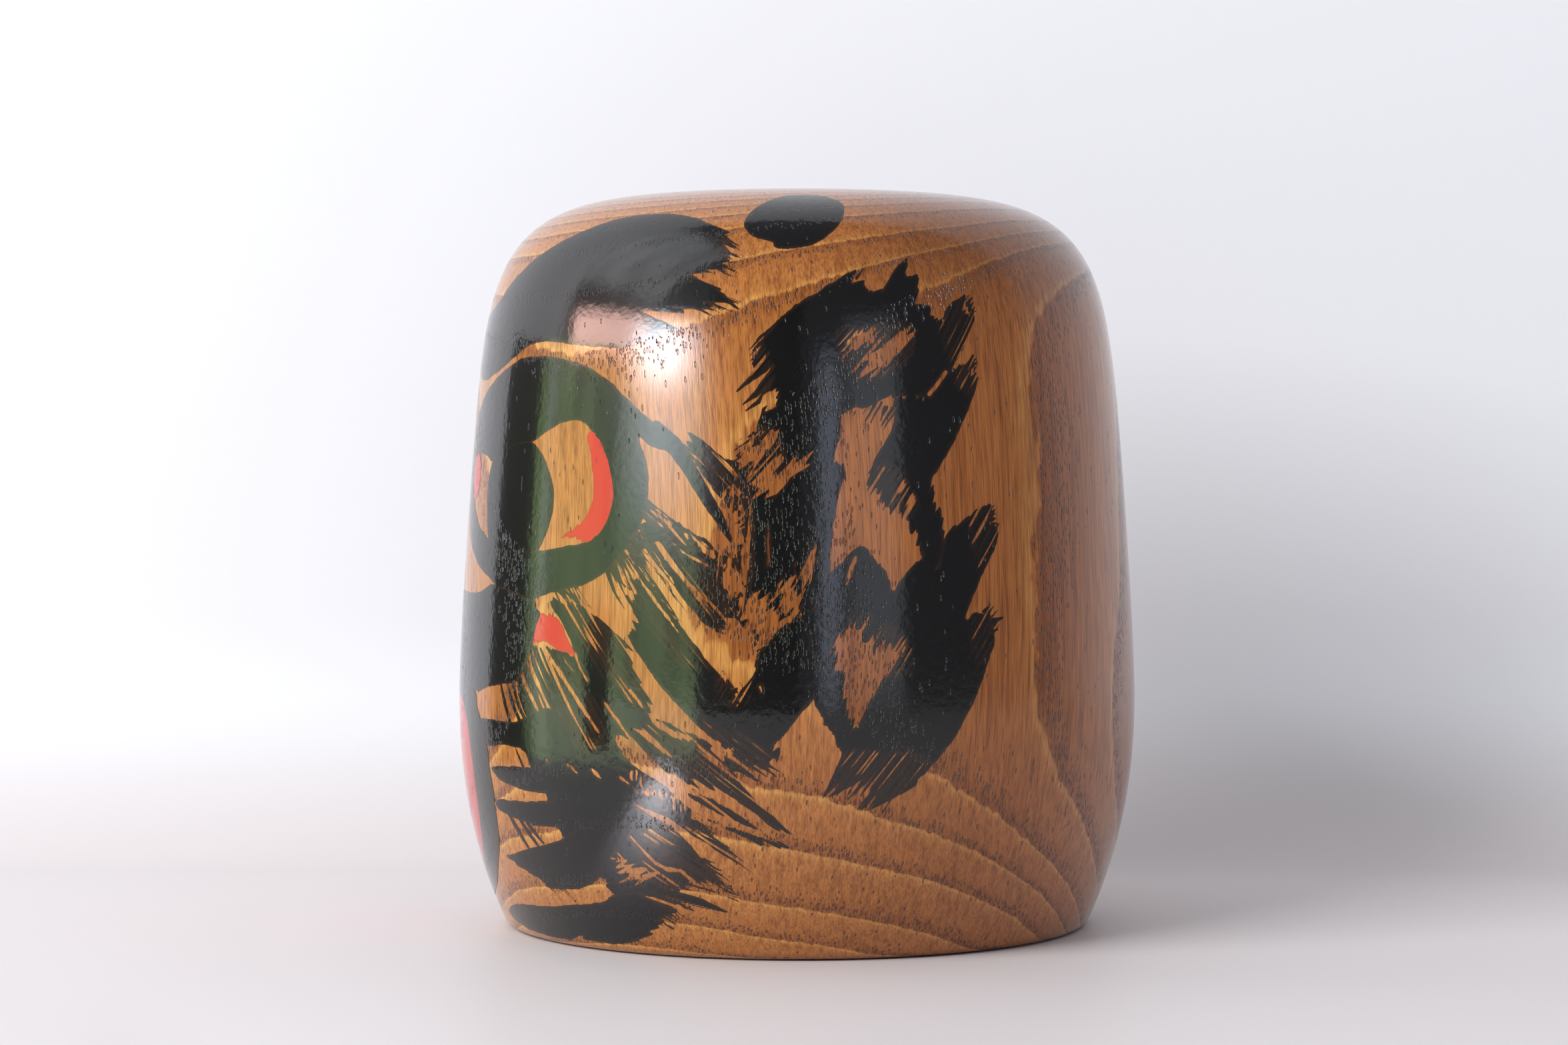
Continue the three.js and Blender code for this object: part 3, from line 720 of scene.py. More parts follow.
BARE_LINES = [
    [(40.2, 46.4, 0.8), (42.5, 46, 1.0), (46, 43, 0.9), (50, 39.2, 0.9), (53.5, 35.5, 0.8),
     (55.6, 33.2, 0.2)],
    [(36.8, 42.6, 1.3), (38.5, 40, 1.1), (40.5, 38, 0.9), (42.6, 35.4, 0.2)],
    [(39, 45.2, 0.9), (39.8, 42.5, 1.0), (42, 40, 0.9), (44.5, 36.8, 0.8), (46.6, 34, 0.2)],
    [(49.9, 45.2, 0.7), (51, 43.2, 0.6), (52.6, 41.3, 0.2)],
    [(60.8, 40.3, 0.5), (62.4, 38.6, 0.5), (64, 37, 0.2)],
    [(56, 38.4, 0.5), (58.3, 36.1, 0.7), (60.5, 33.6, 0.5), (63.3, 31.2, 0.2)],
    [(61.5, 34.8, 0.3), (64, 33.6, 1.2), (66.5, 31.8, 0.9), (68.2, 30.8, 0.2)],
    [(58.9, 33.0, 2.2), (60.5, 31.9, 3.0), (63, 29.9, 2.2), (65.5, 28.3, 1.7), (68, 26.4, 1.6),
     (71, 24.2, 2.0), (75, 22.2, 1.9), (79, 20.9, 1.5), (84, 19.2, 1.0)],
    [(61.5, 23.6, 0.4), (64, 22.5, 1.0), (67, 21.4, 1.4), (70, 19.4, 1.6), (72.5, 17, 2.4)],
    [(58.8, 27.6, 0.5), (60.6, 26.6, 0.4), (62, 25.3, 0.2)],
    [(48.2, 29, 0.4), (49, 28.6, 0.7), (50.2, 27.8, 0.2)],
    [(53.3, 28.6, 0.3), (54, 28, 0.8), (55, 27.3, 0.2)],
    [(43.5, 29.4, 0.5), (44.4, 28.4, 0.3)],
    [(59.8, 18.9, 0.5), (61.5, 17.3, 0.7), (64, 15, 0.8), (66, 14.2, 1.0), (68.5, 14, 0.7),
     (70.5, 12.4, 0.9)],
    [(57, 16.2, 0.5), (58.6, 14.8, 0.3)],
    [(60.3, 58.2, 0.5), (64, 54.2, 0.6), (67, 51, 0.5), (69, 48.8, 0.2)],
    [(61.6, 61, 0.6), (65, 56.8, 0.9), (69, 52, 0.9), (72, 48.3, 1.0), (74.5, 46.5, 1.4)],
    [(64.4, 61.4, 0.5), (68, 58, 0.6), (72, 54.6, 0.5), (76, 51.6, 0.3)],
    [(66, 63, 0.4), (70, 60, 0.4), (75, 57.8, 0.3)],
    [(71, 27.8, 0.3), (73.3, 26.4, 0.6), (76, 24.8, 0.7), (79.4, 22.6, 0.5)],
    [(110.4, 83, 0.9), (112, 84.4, 0.8), (113.8, 86.2, 0.9)],
    [(78, 50.4, 0.3), (80, 48.9, 0.3), (82, 47.3, 0.3)],
    [(83.3, 64, 0.25), (83.5, 60, 0.35), (83.4, 58.4, 0.2)],
    [(74.8, 32.2, 0.9), (76, 31.4, 1.2), (76.4, 30.6, 0.4)],
    [(97.3, 59.6, 0.8), (96.4, 57.4, 0.9), (95.9, 55.8, 0.3)],
    [(82.2, 41.2, 0.6), (82.5, 40.4, 0.4)],
]
DRY_PATCHES = [
    # (outline, brush direction, share left bare)
    ([(40, 46.5), (46, 46), (52, 41), (57, 33), (52, 31), (46, 33), (37, 35), (36, 42)], -56, 0.1),
    ([(46, 54), (54, 51), (60, 47), (64, 41), (61, 38), (55, 43), (48, 49)], -50, 0.14),
    ([(60, 58), (66, 62), (73, 58), (77, 52), (75, 44), (70, 44), (64, 50)], -50, 0.17),
    ([(64, 66), (70, 75), (77, 74), (79, 68), (78, 61), (72, 60)], -45, 0.16),
    ([(75, 68), (80, 70), (81, 60), (80, 53), (77, 49), (75, 56)], 86, 0.16),
    ([(79, 77), (84, 78), (86, 74), (84, 70), (80, 70)], 48, 0.34),
    ([(76, 84), (79, 88), (82, 90), (84, 86), (81, 81), (77, 80)], 50, 0.1),
    ([(95, 92), (102, 93), (108, 93), (107, 88), (101, 85), (96, 87)], 45, 0.2),
    ([(97, 71), (103, 73), (108, 67), (104, 64), (98, 67)], 55, 0.26),
    ([(97, 51), (103, 50), (107, 45), (104, 42), (96, 45)], 58, 0.16),
    ([(114, 98), (120, 97), (121, 84), (116, 84), (113, 92)], 55, 0.16),
    ([(118, 70), (124, 68), (124, 58), (119, 57), (117, 64)], 55, 0.16),
    ([(117, 53), (124, 53), (124, 44), (118, 43)], 55, 0.14),
    ([(91, 31), (100, 32), (109, 31), (106, 24), (96, 22)], 52, 0.2),
    ([(75, 45), (81, 45), (80, 39), (76, 39)], 60, 0.2),
    ([(64, 36), (74, 36), (84, 31), (88, 19), (78, 20), (68, 26), (62, 31)], -38, 0.16),
    ([(62, 20), (70, 21), (78, 19), (78, 12), (70, 11), (62, 13)], -32, 0.16),
    ([(60, 10), (68, 12), (78, 11), (76, 6), (66, 7)], -14, 0.16),
]
SPECKS = [
    # where open vessels stayed bare, as rows of short flecks: (outline, share left bare)
    ([(61, 29), (66, 27), (70, 25), (76, 22), (76, 19.6), (70, 22), (65, 24.4), (61, 26.4)], 0.3),
    ([(75, 68), (79, 69), (80.5, 60), (79, 53), (76, 57)], 0.34),
]


def cut_bare(sheet):
    """Leaves the listed windows, lines and dry patches out of a sheet."""
    for outline in WINDOWS:
        sheet.area(outline, cut=True, rough=0.08)
    for outline, flow in DRY_WINDOWS:
        sheet.area(outline, cut=True, rough=0.1, flow=flow, streak=1.5)
    for path in BARE_LINES:
        sheet.line([(a, s, 0.72 * w) for a, s, w in path], cut=True, rough=0.1)
    for outline, flow, share in DRY_PATCHES:
        sheet.dry(outline, flow, share)
    for outline, share in SPECKS:
        sheet.dry(outline, 88, share, wide=0.36, long=1.0)


print(len(WINDOWS) + len(DRY_WINDOWS), "windows and", len(BARE_LINES), "lines of bare wood")

# %% [markdown]
# ## The marks
#
# Each mark is listed by its outlines, its tapered lines, and the fringes of loose hairs where the
# brush left the wood. The marks are laid out for the doll's left side and mirrored for its
# right, with other random draws, so the hairs differ as they do by hand.

# %% Marks of one side
BROW = [(2, 88), (8, 86.2), (14, 85.4), (20, 86.3), (26, 87.9), (32, 90), (37, 91), (43, 90.8),
        (47, 90.3), (52, 90), (57, 89.8), (62, 91), (66.5, 92.6), (64, 93.9), (60.8, 95.1),
        (66, 95), (70, 95.3), (73, 96), (76, 96.6), (73.5, 98.4), (70, 100), (67.5, 101),
        (71, 101.2), (74, 102), (74.5, 104), (73, 105.6), (74.5, 107.5), (71, 109.3), (66, 111.2),
        (60, 112.2), (54, 112.2), (48, 111.5), (42, 109.8), (36, 107.6), (30, 105.2), (25, 103),
        (20, 100.2), (14, 97.2), (8, 96), (2, 94.5)]
EYE_RIM = [(37, 88.8), (43, 88.5), (48, 87.6), (53, 85.8), (57, 83.4), (61, 80.6), (64, 78.8),
           (67, 77), (68, 76), (66, 75), (63, 75.6), (61, 76.8), (62.2, 74), (62.9, 71), (63, 68),
           (62.2, 65), (60.5, 62), (58, 59.3), (55, 57), (51, 55.3), (47, 54.5), (44, 53.9),
           (40.6, 53.2), (38, 52), (32, 52), (26, 55.2), (22, 56.3), (18, 57.8), (13, 60.2),
           (9, 63.4), (7, 67), (6.6, 72), (8, 77), (11, 80.5), (15, 83), (19, 84.8), (24, 86.5),
           (29, 88), (33, 88.7)]
EYE_OPENING = [(36.2, 75.8), (40, 77.3), (43.5, 78.6), (47, 79.2), (50, 78.8), (53.5, 75.8),
               (55.2, 72.5), (56.3, 69), (56, 66), (54, 63.2), (51, 61.5), (47, 60.8), (43, 60.3),
               (39.7, 60), (36, 60), (30, 60.3), (24, 61.3), (21.5, 62), (18, 63.2), (15, 65.2),
               (12, 67.8), (10.8, 71), (12, 74), (16, 74.3), (20, 73.9), (23, 73.1), (28, 74.5),
               (32, 75.5)]
PUPIL = [(36.2, 76.4), (39.6, 74.6), (42, 72), (43.4, 69), (43.3, 65.5), (42, 62.5), (39.7, 59.7),
         (36, 59.4), (30, 59.6), (25, 60.8), (23.2, 61.7), (22, 65), (21.3, 69), (22.1, 72),
         (24, 73.8), (28, 75.2), (32, 76.2)]
RED_OUTER = [(50.7, 77.4), (51.2, 75), (52, 72), (52.4, 69), (52, 66.5), (50.2, 64.3), (48, 63),
             (45.7, 62.1), (49.5, 62), (51.2, 61.4), (53, 61.8), (54.8, 63.5), (56, 66),
             (56.5, 68.5), (56.3, 71.5), (55.3, 73.8), (53.5, 76.3), (51.8, 77.7)]
RED_INNER = [(10.8, 73.6), (14.5, 74), (16.4, 71.6), (16, 68.6), (13.4, 67), (11.2, 69.5)]
NOSTRIL_RED = [(42.2, 50.8), (45.3, 50.4), (46.8, 49.2), (48.5, 47), (50, 45), (47.8, 45.3),
               (46.5, 45.6), (44, 46.4), (41.8, 46.7), (39.8, 46.6), (39.6, 48.3), (40.8, 49.8)]
CROWN_DOT = [(77.5, 109.8), (78.2, 108), (80.5, 106.5), (83.4, 105.9), (84, 104.9), (87, 104.7),
             (90.5, 105.2), (93.5, 106.7), (96, 109), (97.7, 112), (98, 115), (95, 118), (90, 119),
             (85, 118.3), (81, 115.5), (78.5, 112.5)]
EAR = [
    # arc over the top
    ([(80, 88.6), (84, 92.9), (87, 95.4), (90, 97.3), (93.5, 99), (96, 100.3), (98.4, 101.2),
      (97.8, 99.5), (99.2, 99.7), (100.2, 98.5), (102.8, 98.2), (104.2, 99.8), (106, 101.6),
      (108.5, 103.3), (107.8, 101.3), (108, 100.2), (110.3, 100.2), (109.2, 96.7), (111.2, 95.6),
      (113.4, 93.9), (115, 95.8), (118.6, 97.4), (118.2, 95.2), (120.2, 94.3), (117.5, 90),
      (114.5, 86.3), (110.4, 83), (107, 82.5), (104.8, 82.6), (102, 82.4), (100.3, 81.5),
      (97, 80.8), (95.2, 80.4), (93, 82), (88, 84), (84, 85.5), (81.5, 86.6)], 48, 0.5),
    # upper right limb
    ([(104.5, 82.5), (110.4, 83), (113.5, 86), (117, 87.6), (119.3, 88.1), (118.6, 85.6),
      (119.8, 84.8), (117, 79.6), (113, 73.6), (110.3, 70.4), (111.2, 67), (112.4, 62.4),
      (110.5, 57), (107.8, 57.6), (108.2, 59.6), (107.8, 62.3), (106.8, 62.8), (105.5, 64.6),
      (104.6, 66), (103, 66.8), (102, 68.2), (100.5, 69.5), (99.6, 71.3), (101, 74), (103, 77),
      (104.3, 79.6)], 65),
    # left limb
    ([(84, 86), (88, 88), (95.3, 88), (95.2, 80.5), (94.8, 76), (93.9, 73), (96, 72.2), (95, 69),
      (94, 65.2), (93.3, 60.5), (93.1, 57.2), (91.3, 54), (90, 51), (86, 50.3), (82.2, 46.2),
      (80.5, 49.5), (78, 51), (77.8, 54), (78, 60), (79.3, 64), (80, 68), (80, 73), (80.5, 77),
      (82, 80), (83, 83)], 88),
    # foot of the left limb
    ([(82.2, 46.4), (84.3, 48.8), (86.5, 50.8), (90, 52), (93, 50), (92, 45), (90.6, 39.6),
      (88.3, 37), (86.3, 34.5), (84.4, 33), (85.3, 31), (83.5, 30.3), (80, 30.5), (76.5, 32.5),
      (74.5, 34.8), (76.2, 38.8), (78.2, 41), (80.2, 41.5), (81.5, 43.8)], 60),
    # lower lobe
    ([(90.5, 39.3), (92.5, 35.7), (94.6, 32.4), (95.5, 31), (98, 29.3), (100, 27), (101, 26),
      (104.5, 26), (108, 28.2), (110.5, 30.3), (113, 32.9), (115.5, 36.3), (117.5, 39.5),
      (118.5, 41.5), (120, 44.5), (121.3, 47.5), (120, 49.5), (118.6, 51.2), (115.8, 50.6),
      (117.5, 54), (119.4, 57.3), (121.4, 60.1), (122.7, 62.8), (121, 64.4), (121.6, 66.6),
      (120.4, 66.9), (117.5, 65.7), (114.6, 64), (112.3, 62.3), (111, 58), (108.3, 59.4),
      (106.3, 58), (104.4, 55.9), (103.3, 54.6), (102.6, 56.5), (101.2, 58.8), (99.6, 60.3),
      (98, 61.3), (96, 59.8), (93, 57.2), (91, 54), (90, 50), (89.5, 44)], 60, 0.3),
    # stroke that joins the ear to the eye's tail
    ([(70, 77.5), (73, 76), (76, 74), (79.5, 72.5), (80, 66), (77.5, 66), (75, 68.5), (72.7, 71.5),
      (70.5, 75)], -40),
]
WHISKER_UPPER = [
    ([(60.5, 55.5), (62.5, 57.2), (65.5, 54), (69, 50), (72, 46.8), (75, 43.6), (77.6, 41),
      (79, 38), (79, 34), (76, 33.2), (72.5, 35.3), (70, 37.6), (67.5, 39.7), (64.5, 42.7),
      (62, 45.9), (60.4, 48.4), (61.5, 50.6), (61, 53.5)], -45),
    ([(63.8, 64.5), (67, 63.2), (70.5, 61.5), (74, 60), (77, 60.5), (79, 60), (79, 54), (77.5, 50),
      (75.5, 49.3), (73, 50.3), (70, 53.4), (67.3, 56.6), (64.8, 60), (63, 62.6)], -40),
]
WHISKER_MIDDLE = [
    ([(43.8, 53.4), (46, 53), (48.5, 52.6), (50.5, 52.4), (52.5, 51.6), (54.5, 50.6), (57, 49.2),
      (59.5, 47.4), (61, 45), (63, 41.4), (64.4, 38.4), (64.4, 36), (67, 34.4), (70, 33.4),
      (73.4, 32.6), (77, 32.5), (82, 32), (84, 30.4), (82.3, 30.1), (81, 29.2), (79.6, 28.6),
      (79.4, 27.2), (82.5, 24.2), (85, 21.8), (86.2, 20.4), (83.5, 21.4), (80, 23.9), (76, 26),
      (72, 27), (68, 28), (64, 31), (60, 34.5), (56, 37.5), (50, 41), (44, 45), (45, 46.2),
      (48, 45), (50, 44.6), (48.8, 47), (47, 49.6), (45.4, 50.8), (44.6, 52)], -42),
]
WHISKER_LOWER = [
    ([(36.5, 46), (40, 46.6), (42, 46.8), (46, 44.8), (50, 42.5), (56, 39), (58.5, 36.4),
      (60.4, 34), (59.4, 31.6), (60.5, 30), (63, 28.4), (66, 27), (69, 26), (73, 25.2), (76, 24),
      (80, 21.9), (83, 20), (86.6, 18.2), (84, 18.5), (80, 19.1), (77, 20.6), (74, 21.8),
      (71.5, 21.8), (74, 19.3), (76.5, 17.3), (78.6, 15.8), (75, 17.1), (72.5, 18.8), (71.5, 17.6),
      (73.3, 15.6), (74, 14), (73.6, 12.4), (70.5, 12.8), (68, 14.2), (60, 16), (50, 17),
      (45, 17.8), (41, 17.4), (37, 20.8), (40, 24.5), (39, 28), (37, 31), (37, 34.8), (35.5, 40.5)],
     -38),
]
BEARD_UPPER = [([(23, 34.2), (30, 34.5), (36, 34.7), (45, 37), (47, 31), (39, 30.6), (32, 30.9),
                 (25, 30.5)], 0)]
BEARD_MIDDLE = [([(26.5, 27.1), (30, 27.6), (35, 27.9), (39.3, 28), (46, 29.5), (46, 24.5),
                  (42.5, 24.4), (39, 24.3), (34, 24.8), (29.5, 25.6)], 0)]
BEARD_LOWER = [([(26.8, 21.8), (29, 22.5), (34, 22.6), (39, 22.9), (42.5, 23.2), (47, 24), (47, 19),
                 (44.5, 19.3), (40, 19.2), (35, 19.7), (30, 20.5), (27.5, 20.9)], 0)]
CHIN_UPPER = [([(27.5, 13.8), (33, 14.9), (37, 15.9), (41, 16.8), (44.8, 17.6), (50, 20), (60, 19),
                (66, 18), (70, 17.5), (73.6, 14.4), (73.8, 12.3), (70.6, 12.6), (69, 11.4),
                (67.5, 10.6), (64, 9.8), (58, 10), (54.8, 9.5), (53, 12.2), (50, 11), (47, 10),
                (43, 9.6), (38.5, 9.6), (37.5, 10.3), (34, 11.5), (31, 12.2)], 5)]
CHIN_LOWER = [([(20, 4.4), (24, 5.3), (30, 6), (36, 6.3), (42, 6.9), (47, 7.6), (52, 8.3),
                (55, 9.6), (60, 10.5), (66, 10.8), (68.3, 10), (65.6, 7.4), (62.8, 5.6),
                (60.4, 3.6), (57.5, 2.4), (54, 1.6), (50, 1.3), (46.5, 1.4), (44, 2.2), (42, 1.2),
                (38, 1.1), (30, 1.2), (23, 1.9), (18, 2.9)], 5)]

# name: (colour, outlines with their brush direction, what else the mark has)
PAIRED = {
    "pupil": (BLACK, [(PUPIL, 0)], {}),
    "eye_red_inner": (RED, [(RED_INNER, 90)], dict(streak=0.2)),
    "eye_red_outer": (RED, [(RED_OUTER, 80)], dict(
        fringes=[((52, 62), (56, 64.5), (1.0, -1.4), 7)], streak=0.25)),
    "eye_rim": (BLACK, [(EYE_RIM, 0)], dict(
        holes=[EYE_OPENING],
        lines=[[(64, 77.6, 3.2), (67.5, 75.6, 2.6), (70, 72.6, 2.2), (73, 68.4, 1.9), (75.6, 65, 1.5),
                (77.4, 62, 0.5)]],
        fringes=[((62.9, 68), (62.3, 65), (9, -5.5), 6), ((62, 64.5), (59.5, 60.5), (6, -6), 8),
                 ((59, 60), (55.5, 57.5), (4, -6), 9), ((50, 54.9), (45, 54), (4.5, -4), 6),
                 ((65, 78.3), (68, 76.2), (9, -6), 5)])),
    "brow": (BLACK, [(BROW, -12, 1.3, (52, 68))], dict(
        fringes=[((74, 107.6), (73, 105), (4.5, -2.2), 7), ((73.5, 104.8), (73.2, 101.6), (5.5, -2), 9),
                 ((74.8, 97.6), (70, 95.3), (4.5, -1.8), 9), ((64, 101.8), (68, 101), (5, -0.6), 3)])),
    "crown_dot": (BLACK, [(CROWN_DOT, 0)], {}),
    "ear": (BLACK, EAR, dict(
        lines=[[(83.5, 88, 2.5), (80.5, 85.5, 1.2), (78, 83.4, 0.2)],
               [(84.5, 86.5, 2.2), (81.5, 83.2, 1.0), (79, 81.5, 0.2)],
               [(84.5, 84.6, 1.6), (81.8, 82, 0.8), (79.5, 80.6, 0.2)],
               [(96.5, 31, 3), (94, 27.8, 1.2), (92, 25.2, 0.2)],
               [(99, 30, 3), (96, 27.2, 1.1), (93, 25.4, 0.2)],
               [(103, 28, 4.5), (100, 25, 1.7), (96.8, 23.2, 0.3)],
               [(106, 27.6, 2.4), (102, 24.8, 0.9), (99.2, 23.4, 0.2)],
               [(118, 50, 3), (120.6, 50, 1.1), (123, 50.6, 0.2)],
               [(98.5, 100, 0.5), (100, 101.6, 0.15)]],
        fringes=[((80.5, 90), (88, 96), (-1.5, -1.2), 9), ((95, 30.5), (104, 26.5), (-3.2, -4.2), 16),
                 ((119, 97), (120, 94.5), (1.2, 0.9), 6), ((119.2, 88), (119.6, 85), (1.2, 0.8), 6),
                 ((121, 66.5), (122, 63), (1.2, 0.8), 6), ((119.5, 52), (121, 48), (1.8, 1.4), 7),
                 ((79.5, 62), (80, 77), (-2.6, -1.6), 18), ((104, 68), (99, 72), (-1.8, -2.2), 8),
                 ((100, 82), (104.5, 80), (-2.6, -3.4), 5), ((84, 33), (86.5, 35.5), (1.5, 2.4), 7),
                 ((82, 74.5), (88, 71.5), (1.5, -2.6), 9), ((84, 73), (80.5, 70), (2.6, 2.2), 8)],
        streak=0.9, leaves_bare=True)),
    "whisker_upper": (BLACK, WHISKER_UPPER, dict(
        fringes=[((64, 66.4), (75, 61), (3.5, -2.6), 10), ((75.6, 49.5), (77.5, 41), (3, -2.4), 12),
                 ((60.5, 58.5), (66, 63), (10, -11), 14), ((66, 64), (73, 60), (6, -9), 11),
                 ((61, 52), (66, 55), (6, -7), 7)],
        streak=1.2, leaves_bare=True)),
    "whisker_middle": (BLACK, WHISKER_MIDDLE, dict(
        fringes=[((79.5, 28.8), (83, 30.3), (4, -2.4), 7), ((66, 36), (74, 33), (2.6, -1.2), 9),
                 ((80, 26), (84, 22.4), (4.5, -3.8), 8)],
        streak=1.2, leaves_bare=True)),
    "whisker_lower": (BLACK, WHISKER_LOWER, dict(
        fringes=[((72, 25.6), (80, 21.8), (6.5, -4.5), 10), ((72, 21.6), (75, 17.6), (6, -4.2), 10),
                 ((73, 16), (74, 12.6), (4, -2.2), 6)],
        streak=1.2, leaves_bare=True)),
    "beard_upper": (BLACK, BEARD_UPPER, dict(
        lines=[[(31, 40, 0.5), (32.5, 37, 0.9), (34, 34.6, 0.7)],
               [(33, 40.2, 0.5), (35, 37, 0.8), (37, 34.6, 0.7)],
               [(34.6, 40.4, 0.5), (36.6, 37, 0.8), (39, 34.4, 0.6)]])),
    "beard_middle": (BLACK, BEARD_MIDDLE, dict(
        lines=[[(35.4, 30.6, 0.3), (36.6, 29, 0.5), (37.4, 27.8, 0.5)]])),
    "beard_lower": (BLACK, BEARD_LOWER, dict(
        lines=[[(31, 20.6, 0.8), (33.5, 18, 0.9), (35.6, 15.6, 0.5)],
               [(34.5, 20, 0.8), (37, 17.6, 0.8), (38.8, 16, 0.5)],
               [(36.5, 19.6, 0.7), (38.8, 17.8, 0.7), (40.4, 16.6, 0.4)]])),
    "chin_upper": (BLACK, CHIN_UPPER, dict(
        fringes=[((73, 15), (73.6, 12.4), (4.5, -2.6), 7), ((38, 10), (44, 9.8), (2.6, -2.2), 4)],
        streak=0.6, leaves_bare=True)),
    "chin_lower": (BLACK, CHIN_LOWER, dict(
        lines=[[(66, 10.4, 3), (71, 9.2, 1.7), (76, 7.8, 0.3)],
               [(68, 11.6, 2), (73, 10.7, 1.2), (78, 9.6, 0.3)]],
        fringes=[((62, 5.5), (68, 10), (3, -1.6), 8)], streak=0.8, leaves_bare=True)),
    "nostril_red": (RED, [(NOSTRIL_RED, -45)], dict(streak=0.3)),
}


def both_halves(outline):
    """Closes a half outline, from middle line to middle line, with its mirror image."""
    return outline + [(-a, s) for a, s in outline[::-1] if a > 0]


MOUTH_RIM = both_halves([(0, 4.9), (4, 5), (8, 5.5), (13, 6.8), (17, 8.4), (19.5, 10), (22, 12.2),
                         (24.3, 14.3), (25.8, 17.2), (26.3, 20.5), (26.5, 24), (25.9, 27),
                         (25.6, 30), (24.6, 32.5), (23, 34.3), (21.3, 36), (20.8, 37.8), (18, 39.3),
                         (10, 39.5), (0, 39.5)])
MOUTH_OPENING = both_halves([(0, 10.6), (3, 10.7), (8, 11.4), (13, 13.5), (15.5, 16.3), (17, 20.5),
                             (17.3, 25.5), (16.3, 30.5), (14.5, 34), (11, 36.4), (6, 37.3),
                             (0, 37.4)])
NOSE = both_halves([(0, 39.1), (10, 39.1), (18, 38.9), (22, 38.4), (26, 39.2), (31, 39.9),
                    (35.2, 40.5), (37, 41.5), (38.2, 43.2), (39.2, 45), (40, 47), (40.7, 49),
                    (41.6, 50.8), (40.2, 51.8), (40.2, 52.6), (38, 53), (32, 54.2), (26, 54.6),
                    (20, 53.2), (10, 53), (0, 53)])

# name: (colour, outline, opening, mm grown past the outline)
CENTRE = {
    "mouth_red": (RED, MOUTH_OPENING, None, 0.4),
    "mouth_rim": (BLACK, MOUTH_RIM, MOUTH_OPENING, 0),
    "nose": (BLACK, NOSE, None, 0),
}
print(len(PAIRED), "marks on each side and", len(CENTRE), "in the middle")

# %% Lay the marks
SHEET_MARGIN = 7         # mm of bare sheet round a mark, for its hairs and slips
PAIRED_LIFT = 0.001      # mm, how much further out each pair's film lies than the one before
CENTRE_START, CENTRE_LIFT = 0.02, 0.006      # mm, the same for the middle marks, over the pairs
CENTRE_SEED = 50


def blank(entries, seed):
    """An empty sheet that holds lists of (degrees, mm up, ...)."""
    p = np.array([(a * ROUND, s) for a, s, *_ in entries], float)
    return Sheet(p.min(0) - SHEET_MARGIN, p.max(0) + SHEET_MARGIN, seed)


def brushed(seed, outlines, holes=(), lines=(), fringes=(), streak=0, leaves_bare=False):
    """The sheet of one mark: its outlines and lines, its loose hairs, and then what stays bare.
    An outline can bring its own streak and wet range."""
    drawn = [outline for outline, *_ in outlines] + [*lines]
    sheet = blank([p for shape in drawn for p in shape], seed)
    for outline, flow, *own in outlines:
        sheet.area(outline, flow=flow, streak=own[0] if own else streak,
                   wet=own[1] if own[1:] else None)
    for path in lines:
        sheet.line(path)
    for k, fringe in enumerate(fringes):
        sheet.fringe(*fringe, seed=k)
    for hole in holes:
        sheet.area(hole, cut=True)
    if leaves_bare:
        cut_bare(sheet)
    return sheet


for order, (name, (paint, outlines, extras)) in enumerate(PAIRED.items()):
    for side, sign in SIDES.items():
        sheet = brushed(order * 2 + (sign < 0), outlines, **extras)
        lay_film(f"{name}_{side}_paint", sheet, sign, FILM + PAIRED_LIFT * order, paint,
                 f"{name}_{side}")

for order, (name, (paint, outline, opening, grow)) in enumerate(CENTRE.items()):
    sheet = blank(outline, CENTRE_SEED + order)
    sheet.area(outline)
    sheet.field = sheet.field + grow
    if opening:
        sheet.area(opening, cut=True)
    lay_film(f"{name}_paint", sheet, 1, FILM + CENTRE_START + CENTRE_LIFT * order, paint, name)

print("triangles of paint:", sum(made.values()), "most in", max(made, key=made.get))

# %% [markdown]
# ## Floor, light and camera
#
# The doll stands on one pale sheet that curves up into a wall close behind it, seen from the
# camera's side. One square window, high and ahead of the doll's left, lights everything. Lacquer
# shows what it faces, so soft cards that only mirrored rays see stand round the doll: the bright
# window and a pink curtain beside it, leaves, the room above, a pale wall, and a few dark gaps.
# The cards shine on the doll alone, so the sheet keeps the window's light.

# %% Floor and wall in one sheet
VIEW_ANGLE = 88.0        # degrees round from the face, where the camera stands
WALL_BEHIND = 0.108      # m from the doll's axis to the wall behind it
COVE = 0.042             # m, radius of the curve from floor to wall
FLOOR_REACH, WALL_TOP, HALF_WIDTH = 2.5, 1.2, 5      # m
UNDER_DOLL, LOWER_FLOOR = 0.0002, -0.001             # m, so that no two faces share a plane


def toward(angle, distance, height):
    """A point at an angle in degrees round from the face, a distance from the axis and a height."""
    turn = math.radians(angle)
    return np.array([distance * math.sin(turn), -distance * math.cos(turn), height])


UP = np.array([0, 0, 1])


